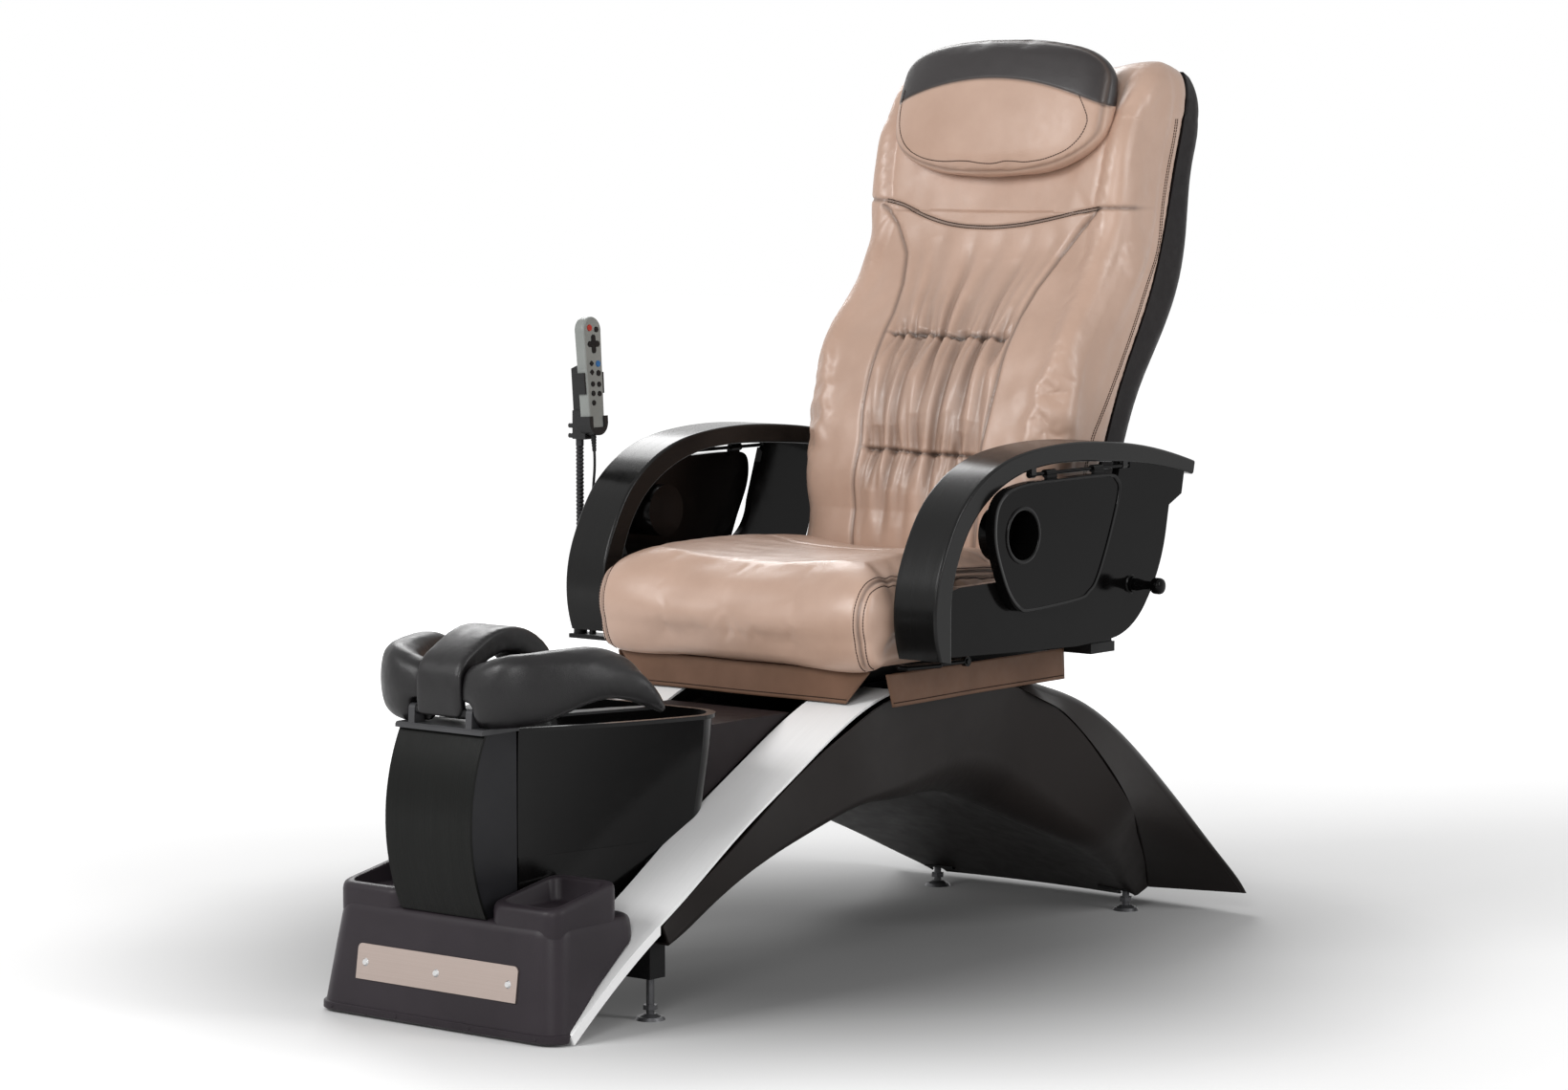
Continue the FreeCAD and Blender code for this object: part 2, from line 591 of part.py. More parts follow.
def seat_frame():
    """Moving frame of the seat: runners, side and cross tubes, recline lugs with their pins,
    arm posts with their pins, and the bar that carries the neck of the handset."""
    parts = []
    for x in (RAIL_X, -RAIL_X):
        parts.append(block(x - 16, x + 16, 790, 1050, 445, 453))
        parts.append(block(x - 8, x + 8, 790, 1050, 453, 460))
    low = 459.0
    for side in (1, -1):
        parts.append(side_block(side, 200, 232, 704, 1245, low, SEAT_BASE))
        parts.append(side_block(side, 231, 318, 1180, 1245, low, SEAT_BASE))
        parts.append(rod(Vector(side * 231, 1181, 467), Vector(side * 258, 1181, 467), 8.0))
        lug = side_plate([(1160, low), (1215, low), (1200, 560), (1170, 560)], side * 250, side * 258)
        eye = rod(Vector(side * 250, *RECLINE_PIVOT), Vector(side * 258, *RECLINE_PIVOT), 16)
        pin = rod(Vector(side * 230, *RECLINE_PIVOT), Vector(side * 258, *RECLINE_PIVOT), 8)
        parts += [lug, eye, pin]
        y, z = ARM_PIVOT
        post = side_plate([(1184, low), (1244, low), (1240, 500), (y + 14, z), (y - 14, z), (1190, 500)],
                          side * 306, side * 314)
        arm_eye = rod(Vector(side * 306, y, z), Vector(side * 314, y, z), 14)
        arm_pin = rod(Vector(side * 306, y, z), Vector(side * 340, y, z), 8)
        parts += [post, arm_eye, arm_pin]
    for y in (704, 836, 1084):
        parts.append(block(-201, 201, y, y + 26, low, SEAT_BASE))
    for x0 in (-13.0, 5.0):
        parts.append(side_plate([(838, 462), (838, 452), (846, 444), (860, 444), (868, 452), (868, 462)],
                                x0, x0 + 8))
    parts.append(rod(Vector(-13, 856, DRIVE_AXIS_Z), Vector(13, 856, DRIVE_AXIS_Z), 4.0))
    bracket = block(NECK_X - 11, -231, NECK_Y - 16, NECK_Y + 22, 468, SEAT_BASE)
    neck_cup = Part.makeCylinder(11, 22, Vector(NECK_X, NECK_Y, SEAT_BASE))
    neck_cup = neck_cup.cut(Part.makeCylinder(NECK_RADIUS, 22, Vector(NECK_X, NECK_Y, SEAT_BASE + 2)))
    gland = Part.makeCone(6.0, 4.5, 12, Vector(CORD_GLAND[0], CORD_GLAND[1], SEAT_BASE))
    pin_y, pin_z = LEVER_PIVOT
    lever_pin = rod(Vector(231, pin_y, pin_z), Vector(287, pin_y, pin_z), 4.0)
    parts += [bracket, neck_cup, gland, lever_pin]
    return joined(parts)


def side_block(side, x0, x1, y0, y1, z0, z1):
    return block(x0, x1, y0, y1, z0, z1) if side > 0 else block(-x1, -x0, y0, y1, z0, z1)


def seat_profile(x, inset, crown):
    """Side view of the seat cushion at one place across it."""
    i = inset
    top = SEAT_TOP + crown
    base = SEAT_BASE + i
    front = SEAT_FRONT + i
    back = SEAT_BACK - i
    drop = 470 + i
    p = [Vector(x, 712, base), Vector(x, 690, drop + 1), Vector(x, 674 + i * 0.5, 486 + i * 0.6),
         Vector(x, front - 2, 540), Vector(x, 672 + i * 0.5, 600 - i),
         Vector(x, 690 + i * 0.3, top - 8 - i), Vector(x, 730, top - i),
         Vector(x, 930, top + 4 - i), Vector(x, back - 30, top - 8 - i),
         Vector(x, back - 6, top - 24 - i), Vector(x, back, top - 50 - i),
         Vector(x, back - 2, 520), Vector(x, back - 8, base)]
    edges = [Part.Arc(p[0], p[1], p[2]).toShape(), Part.Arc(p[2], p[3], p[4]).toShape(),
             Part.Arc(p[4], p[5], p[6]).toShape(),
             Part.Arc(p[6], p[7], p[8]).toShape(), Part.Arc(p[8], p[9], p[10]).toShape(),
             Part.Arc(p[10], p[11], p[12]).toShape(),
             Part.makeLine(p[12], p[0])]
    return Part.Wire(edges)


def seat_cushion():
    """Thick seat with a heavy front roll: crowned across, with sides that draw in."""
    places = [(-SEAT_HALF, 26, -6), (-SEAT_HALF + 7, 8, 0), (-SEAT_HALF + 26, 0, 4), (-110, 0, 8),
              (0, 0, 2),
              (110, 0, 8), (SEAT_HALF - 26, 0, 4), (SEAT_HALF - 7, 8, 0), (SEAT_HALF, 26, -6)]
    cushion = Part.makeLoft([seat_profile(x, i, c) for x, i, c in places], True, False)
    return cushion.cut(block(-300, 300, 703, 1300, 400, SEAT_BASE))


def front_skirt(cushion):
    """Short leather apron under the front roll, narrower at its hem."""
    corners = [(-248, 470), (248, 470), (203, 417), (-203, 417)]
    wire = [Vector(x, 699, z) for x, z in corners]
    skirt = Part.Face(Part.makePolygon(wire + [wire[0]])).extrude(Vector(0, 3, 0))
    return skirt.cut(cushion)


def side_skirts():
    """Leather aprons that hide the rails on both sides."""
    skirt = side_plate([(716, 466), (731, 415), (1176, 417), (1176, 466)], 266, 269)
    tab = side_plate([(740, 459), (740, 466), (1150, 466), (1150, 459)], 232, 267)
    return Part.makeCompound(both_sides(joined([skirt, tab]).cut(lever_room())))


def lever_room():
    y, z = LEVER_PIVOT
    return rod(Vector(220, y, z), Vector(300, y, z), 6.0)


def slide_lever():
    """Looped handle under the arm that frees the seat slide."""
    y, z = LEVER_PIVOT
    near = 281.0
    far = 294.0
    path = [(near, y, z), (near, y - 60, z + 1), (near, y - 160, z + 5), (near + 6, y - 176, z + 6),
            (far, y - 168, z + 5),
            (far, y - 84, z + 2)]
    rods = []
    for a, b in zip(path[:-1], path[1:]):
        rods.append(rod(Vector(*a), Vector(*b), 4.0))
        rods.append(Part.makeSphere(4.0, Vector(*b)))
    eye = rod(Vector(near - 4, y, z), Vector(near + 4, y, z), 8.0)
    lever = joined(rods + [eye])
    return lever.cut(rod(Vector(near - 20, y, z), Vector(near + 20, y, z), 4.0 + RUN))


def recline_actuator():
    """Linear drive under the seat: tube, gear case and motor, with an eye on the front pin."""
    z = DRIVE_AXIS_Z
    tube = rod(Vector(0, 876, z), Vector(0, 1076, z), 15.0)
    case = block(-17, 44, 876, 916, z - 15, z + 6)
    motor = rod(Vector(30, 916, z - 3), Vector(30, 1000, z - 3), 12.0)
    eye = rod(Vector(-4.5, 856, z), Vector(4.5, 856, z), 6.8)
    shank = block(-4.5, 4.5, 856, 880, z - 8, z + 6)
    body = joined([tube, case, motor, eye, shank])
    body = body.cut(rod(Vector(-9, 856, z), Vector(9, 856, z), 4.0 + RUN))
    return body.cut(rod(Vector(0, 930, z), Vector(0, 1080, z), 6.0 + RUN))


def crank_tip(angle):
    """Where the lower end of the crank is, at an angle ahead of straight down."""
    turn = math.radians(angle)
    y, z = RECLINE_PIVOT
    return y + CRANK_LENGTH * math.sin(turn), z - CRANK_LENGTH * math.cos(turn)


def actuator_rod():
    """Rod of the drive. Its eye is a slot, because the crank's tip moves on a shallow arc."""
    z = DRIVE_AXIS_Z
    y, _ = crank_tip(RECLINE_TRAVEL / 2)
    shaft = rod(Vector(0, 1000, z), Vector(0, y - 10, z), 6.0)
    head = block(-7, 7, y - 13, y + 11, z - 12, z + 12)
    slot = block(-8, 8, y - 5.5, y + 5.5, z - 8, z + 8)
    return joined([shaft, head]).cut(slot)


# The back. Each station holds the front of the cushion at its side (y, z), how far behind
# it lie the sewn edge and the back of the shell, the half width, the slope of the cut in
# degrees and how far the middle of the cushion stands out or in.
BACK_STATIONS = [
    ((1141, 606), 92, 150, 247, 17, -2),
    ((1146, 712), 122, 190, 253, 21, -4),
    ((1163, 795), 138, 210, 256, 24, -4),
    ((1221, 946), 143, 217, 258, 25, 2),
    ((1280, 1023), 132, 215, 258, 23, 6),
    ((1331, 1102), 122, 213, 258, 20, 8),
    ((1347, 1170), 129, 216, 258, 20, 10),
    ((1383, 1292), 131, 201, 256, 20, 12),
    ((1430, 1352), 106, 176, 250, 19, 10),
]
BACK_CROWN = ((1470, 1375), 66, 122, 232, 17, 8)


def behind(station, depth):
    """The point (y, z) at a depth behind the front of the cushion, on the cut's own slope."""
    (y, z), _, _, _, slope, _ = station
    turn = math.radians(slope)
    return y + depth * math.cos(turn), z - depth * math.sin(turn)


def back_ring(station, points):
    """Closed wire in a station's plane. Points are (x, depth), and every run is an arc
    when its middle is given, or a line when it is None."""
    def place(x, depth):
        return Vector(x, *behind(station, depth))
    edges = []
    count = len(points)
    for i in range(0, count, 2):
        a = place(*points[i])
        b = place(*points[(i + 2) % count])
        middle = points[i + 1]
        edges.append(Part.makeLine(a, b) if middle is None else Part.Arc(a, place(*middle), b).toShape())
    return Part.Wire(edges)


def cushion_ring(station, shrink=0.0):
    _, edge, _, half, _, hollow = station
    h = half - shrink
    r = 42.0
    k = r * 0.29
    e = edge
    f = shrink
    return back_ring(station, [(-h, e), (-h - 4, (e + r) / 2 + f), (-h, r + f), (-h + k, k + f),
                               (-h + r, f),
                               (0, f + hollow - 3), (h - r, f), (h - k, k + f), (h, r + f),
                               (h + 4, (e + r) / 2 + f),
                               (h, e), None])


def back_cushion():
    """Long cushion that wraps round the frame, with the channel of the massage carriage
    open behind and a rounded top."""
    rings = [cushion_ring(station) for station in BACK_STATIONS]
    rings.append(cushion_ring(BACK_CROWN, 6.0))
    cushion = Part.makeLoft(rings, True, False)
    (y0, z0), (y1, z1) = RAIL_ENDS
    up_y, up_z = rail_direction()
    front = 32.0
    rear = 160.0
    reach = 16.0
    a = (y0 - up_z * front - up_y * reach, z0 + up_y * front - up_z * reach)
    b = (y1 - up_z * front + up_y * reach, z1 + up_y * front + up_z * reach)
    c = (y1 + up_z * rear + up_y * reach, z1 - up_y * rear + up_z * reach)
    d = (y0 + up_z * rear - up_y * reach, z0 - up_y * rear - up_z * reach)
    return cushion.cut(side_plate([a, b, c, d], -122, 122))


def rail_direction():
    (y0, z0), (y1, z1) = RAIL_ENDS
    length = math.hypot(y1 - y0, z1 - z0)
    return (y1 - y0) / length, (z1 - z0) / length


def shell_ring(station, inset):
    _, edge, deep, half, _, _ = station
    h = half - inset
    e = edge - 6.0 if inset > 0 else edge
    d = deep - inset
    r = 40.0 - inset
    k = r * 0.29
    return back_ring(station, [(-h, e), None, (-h, d - r), (-h + k, d - k), (-h + r, d), (0, d + 10),
                               (h - r, d),
                               (h - k, d - k), (h, d - r), None, (h, e), None])


def back_shell():
    """Hard shell behind the cushion: a deep dish, open in front and closed at its top."""
    rings = [shell_ring(station, 0.0) for station in BACK_STATIONS + [BACK_CROWN]]
    outer = Part.makeLoft(rings, True, False)
    lowest = BACK_STATIONS[0]
    under = ((lowest[0][0] - 8, lowest[0][1] - 24),) + lowest[1:]
    hollow = [shell_ring(station, SHELL_WALL) for station in [under] + BACK_STATIONS]
    return outer.cut(Part.makeLoft(hollow, True, False))


def chain(points, radius):
    """Round tube through straight runs with ball corners."""
    pieces = []
    for a, b in zip(points[:-1], points[1:]):
        pieces.append(rod(a, b, radius))
    for p in points[1:-1]:
        pieces.append(Part.makeSphere(radius, p))
    return joined(pieces)


def back_frame():
    """Steel frame in the back: side tubes, cross tubes, the massage rails, the pivot plates
    and the crank that the drive pulls."""
    parts = []
    depths = [(station[1] + station[2]) / 2 for station in BACK_STATIONS]
    levels = (0, 2, 3, 5, 7)
    for side in (1, -1):
        points = [Vector(side * 222, *behind(BACK_STATIONS[k], depths[k])) for k in levels]
        parts.append(chain(points, 10.0))
        y, z = RECLINE_PIVOT
        a = behind(BACK_STATIONS[0], 60)
        b = behind(BACK_STATIONS[0], 128)
        plate = side_plate([(y - 18, z + 6), (y + 2, z - 18), (y + 24, z - 6), b, (b[0] - 4, b[1] + 36),
                            (a[0], a[1] + 24)],
                           side * 226, side * 246)
        hub = rod(Vector(side * 226, y, z), Vector(side * 246, y, z), 20)
        parts += [plate, hub]
        start = behind(BACK_STATIONS[0], depths[0])
        parts.append(rod(Vector(side * 222, *start), Vector(side * 234, *start), 9.0))
        ends = [Vector(side * RAIL_HALF, *RAIL_ENDS[0]), Vector(side * RAIL_HALF, *RAIL_ENDS[1])]
        parts.append(rod(ends[0], ends[1], RAIL_RADIUS))
        for end, level in ((ends[0], 1), (ends[1], 7)):
            bar = behind(BACK_STATIONS[level], depths[level])
            parts.append(rod(end, Vector(side * RAIL_HALF, *bar), 6.0))
    for level in (1, 5, 7):
        bar = behind(BACK_STATIONS[level], depths[level])
        parts.append(rod(Vector(-222, *bar), Vector(222, *bar), 9.0))
    return parts


def back_frame_whole():
    parts = back_frame()
    y, z = RECLINE_PIVOT
    parts.append(rod(Vector(-239, y, z), Vector(239, y, z), 13.0))
    tip_y, tip_z = crank_tip(RECLINE_TRAVEL / 2)
    for x0 in (-17.0, 9.0):
        arm = side_plate([(y - 13, z), (y + 17, z), (tip_y + 9, tip_z), (tip_y - 9, tip_z)], x0, x0 + 8)
        parts += [arm, rod(Vector(x0, tip_y, tip_z), Vector(x0 + 8, tip_y, tip_z), 9.0)]
    parts.append(rod(Vector(-17, tip_y, tip_z), Vector(17, tip_y, tip_z), 5.0))
    frame = joined(parts)
    for side in (1, -1):
        frame = frame.cut(rod(Vector(side * 224, y, z), Vector(side * 252, y, z), 8.0 + RUN))
    return frame


def along_rail(distance, ahead=0.0):
    """A point (y, z) at a distance up the massage rails, and so far in front of them."""
    up_y, up_z = rail_direction()
    y0, z0 = RAIL_ENDS[0]
    return y0 + up_y * distance - up_z * ahead, z0 + up_z * distance + up_y * ahead


def massage_carriage():
    """Carriage with four guide eyes on the rails and two cheeks for the roller shaft."""
    parts = []
    for side in (1, -1):
        x = side * RAIL_HALF
        a = along_rail(CARRIAGE_REST - 45)
        b = along_rail(CARRIAGE_REST + 45)
        parts.append(rod(Vector(x, *a), Vector(x, *b), 14.0))
        corners = [along_rail(CARRIAGE_REST - 36, 12), along_rail(CARRIAGE_REST - 36, -26),
                   along_rail(CARRIAGE_REST + 36, -26), along_rail(CARRIAGE_REST + 36, 12)]
        parts.append(side_plate(corners, side * 66, side * 84))
    back = [along_rail(CARRIAGE_REST - 36, -26), along_rail(CARRIAGE_REST - 36, -34),
            along_rail(CARRIAGE_REST + 36, -34),
            along_rail(CARRIAGE_REST + 36, -26)]
    parts.append(side_plate(back, -84, 84))
    carriage = joined(parts)
    low = along_rail(CARRIAGE_REST - 60)
    high = along_rail(CARRIAGE_REST + 60)
    for side in (1, -1):
        bore = rod(Vector(side * RAIL_HALF, *low), Vector(side * RAIL_HALF, *high), RAIL_RADIUS + RUN)
        carriage = carriage.cut(bore)
    axle = along_rail(CARRIAGE_REST, 2)
    return carriage.cut(rod(Vector(-90, *axle), Vector(90, *axle), 6.0 + RUN))


def massage_rollers():
    """Shaft with two rounded kneading wheels."""
    axle = along_rail(CARRIAGE_REST, 2)
    shaft = rod(Vector(-84, *axle), Vector(84, *axle), 6.0)
    wheels = []
    for side in (1, -1):
        x = side * 44
        wheel = rod(Vector(x - 12, *axle), Vector(x + 12, *axle), 26.0)
        rims = [e for e in wheel.Edges if e.Length > 150]
        wheels.append(wheel.makeFillet(7.0, rims))
    return joined([shaft] + wheels)


def pillow():
    """Head pillow with a curved lower edge, thick in the middle and drawn in at its sides."""
    lean = math.radians(17.4)
    up = Vector(0, math.sin(lean), math.cos(lean))
    out = Vector(0, -math.cos(lean), math.sin(lean))
    foot = Vector(0, 1354, 1200)

    def place(x, height, proud):
        return foot.add(Vector(x, 0, 0)).add(Vector(up).multiply(height)).add(Vector(out).multiply(proud))

    cuts = []
    shape = [(-216, 92, 150, 5), (-206, 62, 186, 17), (-170, 30, 212, 26), (-90, 6, 228, 32),
             (0, 0, 232, 34),
             (90, 6, 228, 32), (170, 30, 212, 26), (206, 62, 186, 17), (216, 92, 150, 5)]
    for x, low, high, half in shape:
        middle = (low + high) / 2
        span = (high - low) / 2
        back = 1.2 - 6.5 * (1 - (x / 216.0) ** 2)
        thick = half * 2
        p = [place(x, low + span * 0.14, back + thick * 0.12),
             place(x, low - span * 0.02, back + thick * 0.5),
             place(x, low + span * 0.14, back + thick * 0.86), place(x, middle, back + thick),
             place(x, high - span * 0.14, back + thick * 0.86),
             place(x, high + span * 0.02, back + thick * 0.5),
             place(x, high - span * 0.14, back + thick * 0.12), place(x, middle, back)]
        cuts.append(ring_section(p))
    return Part.makeLoft(cuts, True, False)


def arm_band(side):
    """C-shaped gloss band with the two lugs of the tray hinge below it."""
    outer = [(718, 492), (707, 530), (705, 572), (713, 615), (730, 655), (766, 712), (820, 757),
             (888, 786), (971, 800),
             (1060, 804), (1152, 800), (1244, 790), (1327, 774), (1392, 757)]
    inner = [(746, 488), (746, 540), (749, 590), (762, 634), (800, 694), (856, 736), (925, 762),
             (1012, 773),
             (1145, 769), (1276, 757), (1387, 735)]
    band = ribbon(outer, inner, ARM_INNER, ARM_OUTER)
    rims = [e for e in band.Edges if e.BoundBox.XLength < 0.1 and e.BoundBox.YLength > 300]
    band = band.makeFillet(4.0, rims)
    lugs = []
    for y0 in (948.0, 1192.0):
        lug = block(TRAY_AXIS_X - 7, TRAY_AXIS_X + 3.5, y0, y0 + 12, TRAY_AXIS_Z, 788)
        lug = lug.fuse(rod(Vector(TRAY_AXIS_X - 1.75, y0, TRAY_AXIS_Z),
                           Vector(TRAY_AXIS_X - 1.75, y0 + 12, TRAY_AXIS_Z), 5.5))
        lugs.append(lug)
    band = joined([band] + lugs)
    band = band.cut(rod(Vector(TRAY_AXIS_X, 940, TRAY_AXIS_Z), Vector(TRAY_AXIS_X, 1215, TRAY_AXIS_Z),
                        3.0 + RUN))
    return band if side > 0 else mirrored(band)


def arm_panel(side, band):
    """L-shaped side panel below the band, with the hub that turns on the frame's pin."""
    lower = [(746, 497), (918, 490), (1072, 485), (1157, 489)]
    first = Vector(355, *lower[0])
    edges = []
    for a, b in zip(lower[:-1], lower[1:]):
        edges.append(Part.makeLine(Vector(355, *a), Vector(355, *b)))
    edges.append(Part.Arc(Vector(355, 1157, 489), Vector(355, 1216, 504), Vector(355, 1262, 543)).toShape())
    edges.append(Part.Arc(Vector(355, 1262, 543), Vector(355, 1295, 594), Vector(355, 1314, 650)).toShape())
    corners = [(1314, 650), (1322, 690), (1357, 706), (1366, 750), (1190, 790), (1184, 756), (1154, 669)]
    for a, b in zip(corners[:-1], corners[1:]):
        edges.append(Part.makeLine(Vector(355, *a), Vector(355, *b)))
    edges.append(Part.Arc(Vector(355, 1154, 669), Vector(355, 1132, 624), Vector(355, 1086, 604)).toShape())
    edges.append(Part.makeLine(Vector(355, 1086, 604), Vector(355, 770, 601)))
    edges.append(Part.makeLine(Vector(355, 770, 601), Vector(355, 740, 596)))
    edges.append(Part.makeLine(Vector(355, 740, 596), first))
    panel = Part.Face(Part.Wire(edges)).extrude(Vector(13, 0, 0))
    y, z = ARM_PIVOT
    hub = rod(Vector(317, y, z), Vector(356, y, z), 14.0)
    ring = rod(Vector(367, *KNOB_AXIS), Vector(375, *KNOB_AXIS), 13.0)
    guide = rod(Vector(338, *KNOB_AXIS), Vector(356, *KNOB_AXIS), 8.0)
    panel = joined([panel, hub, ring, guide])
    panel = panel.cut(rod(Vector(300, y, z), Vector(341, y, z), 8.0 + RUN))
    panel = panel.cut(rod(Vector(330, *KNOB_AXIS), Vector(380, *KNOB_AXIS), 4.0 + RUN))
    panel = panel.cut(rod(Vector(TRAY_AXIS_X, 1180, TRAY_AXIS_Z), Vector(TRAY_AXIS_X, 1212, TRAY_AXIS_Z),
                          4.5))
    return (panel if side > 0 else mirrored(panel)).cut(band)


def pull_knob(side):
    """Spring plunger that locks the arm: thin shaft with a ball for the fingers."""
    shaft = rod(Vector(332, *KNOB_AXIS), Vector(412, *KNOB_AXIS), 4.0)
    collar = rod(Vector(375.3, *KNOB_AXIS), Vector(379, *KNOB_AXIS), 8.0)
    ball = Part.makeSphere(10.0, Vector(419, *KNOB_AXIS))
    knob = joined([shaft, collar, ball])
    return knob if side > 0 else mirrored(knob)


def tray(side):
    """Folding tray that hangs below the band: rounded plate with a raised rim, the cup
    holder and the hinge knuckles with their long pin."""
    x0 = TRAY_AXIS_X + 4
    outline = [(874, 744), (925, 751), (1000, 752), (1130, 752), (1158, 744), (1164, 722), (1135, 647),
               (1104, 588), (1082, 569),
               (1051, 559), (927, 552), (896, 557), (868, 582), (846, 622), (831, 665), (832, 706),
               (846, 730)]
    points = [Vector(x0, y, z) for y, z in outline]
    spline = Part.BSplineCurve()
    spline.interpolate(points, PeriodicFlag=True)
    face = Part.Face(Part.Wire(spline.toShape()))
    plate = face.extrude(Vector(14, 0, 0))
    centre = (906.0, 671.0)
    cup = rod(Vector(x0 - 40, *centre), Vector(x0 + 15, *centre), CUP_RADIUS + 4)
    bore = rod(Vector(x0 - 36, *centre), Vector(x0 + 20, *centre), CUP_RADIUS)
    knuckles = []
    for y0 in (985.0, 1110.0):
        knuckles.append(rod(Vector(TRAY_AXIS_X, y0, TRAY_AXIS_Z),
                            Vector(TRAY_AXIS_X, y0 + 26, TRAY_AXIS_Z), 6.0))
        knuckles.append(block(TRAY_AXIS_X, TRAY_AXIS_X + 6, y0, y0 + 26, TRAY_AXIS_Z - 14, TRAY_AXIS_Z - 2))
    pin = rod(Vector(TRAY_AXIS_X, 944, TRAY_AXIS_Z), Vector(TRAY_AXIS_X, 1208, TRAY_AXIS_Z), 3.0)
    whole = joined([plate, cup, pin] + knuckles).cut(bore)
    return whole if side > 0 else mirrored(whole)


# The handset is drawn upright round its own centre, facing +X, and then leaned and placed.
def on_handset(shape):
    laid = shape.copy()
    laid.rotate(Vector(0, 0, 0), Vector(0, 1, 0), -HANDSET_LEAN)
    laid.translate(Vector(*HANDSET_CENTRE))
    return laid


def handset_outline(x, grow):
    half = HANDSET_HALF
    top = 22.0 + grow
    low = 18.5 + grow
    edges = [Part.makeLine(Vector(x, low, -78), Vector(x, top, 68)),
             Part.Arc(Vector(x, top, 68), Vector(x, 0, half + grow), Vector(x, -top, 68)).toShape(),
             Part.makeLine(Vector(x, -top, 68), Vector(x, -low, -78)),
             Part.Arc(Vector(x, -low, -78), Vector(x, 0, -half - grow), Vector(x, low, -78)).toShape()]
    return Part.Wire(edges)


# Place of each key on the face: sideways, down from the top, and half its width and height
KEYS = {
    "key_power": (-7.0, 16.0, 5.2, 5.2),
    "key_top_right": (9.0, 19.0, 4.4, 4.4),
    "key_navigation": (1.0, 42.0, 14.0, 15.0),
    "key_left_upper": (-6.5, 73.0, 5.0, 4.6),
    "key_blue": (9.0, 74.0, 5.0, 5.2),
    "key_left_lower": (-6.5, 87.0, 5.0, 4.6),
    "key_right_lower": (9.0, 89.0, 4.6, 4.6),
    "key_round_1": (-6.0, 106.0, 4.2, 4.2),
    "key_round_2": (9.0, 107.0, 4.2, 4.2),
    "key_round_3": (-6.0, 121.0, 4.2, 4.2),
    "key_round_4": (9.0, 122.0, 4.2, 4.2),
    "key_round_5": (-6.0, 136.0, 4.2, 4.2),
}


def key_cross(side, z, w, x):
    """Face of the direction key: a cross of four arms with round ends."""
    reach = (10.4, 9.2, 10.4, 9.2)
    edges = []
    last = Vector(w, w, 0)
    for k in range(4):
        turn = math.radians(90 * k)
        spin = [math.cos(turn), math.sin(turn)]
        arm = []
        for a, b in ((w, reach[k]), (0, reach[k] + w), (-w, reach[k]), (-w, w)):
            arm.append(Vector(a * spin[0] - b * spin[1], a * spin[1] + b * spin[0], 0))
        edges += [Part.makeLine(last, arm[0]), Part.Arc(arm[0], arm[1], arm[2]).toShape(),
                  Part.makeLine(arm[2], arm[3])]
        last = arm[3]
    cross = Part.Face(Part.Wire(edges))
    cross.rotate(Vector(0, 0, 0), Vector(1, 1, 1), 120)
    cross.translate(Vector(x, side, z))
    return cross


def key_shape(name, grow, low, high):
    side, down, half_y, half_z = KEYS[name]
    z = HANDSET_HALF - 2.0 - down
    if name == "key_navigation":
        return key_cross(side, z, 4.6 + grow, low).extrude(Vector(high - low, 0, 0))
    if abs(half_y - half_z) < 0.25:
        return Part.makeCylinder(half_y + grow, high - low, Vector(low, side, z), Vector(1, 0, 0))
    a = half_y + grow
    b = half_z + grow
    corners = [Vector(low, side - a, z), Vector(low, side, z - b), Vector(low, side + a, z),
               Vector(low, side, z + b)]
    return Part.Face(Part.makePolygon(corners + [corners[0]])).extrude(Vector(high - low, 0, 0))


def handset():
    """Housing of the remote control with a pocket for each key."""
    half = HANDSET_THICK / 2
    body = Part.Face(handset_outline(-half, 0.0)).extrude(Vector(HANDSET_THICK, 0, 0))
    body = body.makeFillet(3.5, [e for e in body.Edges if e.BoundBox.XLength < 0.1])
    for name in KEYS:
        body = body.cut(key_shape(name, 0.25, half - KEY_DEPTH - 1.2, half + 1))
    return on_handset(body)


def key(name):
    half = HANDSET_THICK / 2
    return on_handset(key_shape(name, 0.0, half - KEY_DEPTH, half + KEY_RISE))


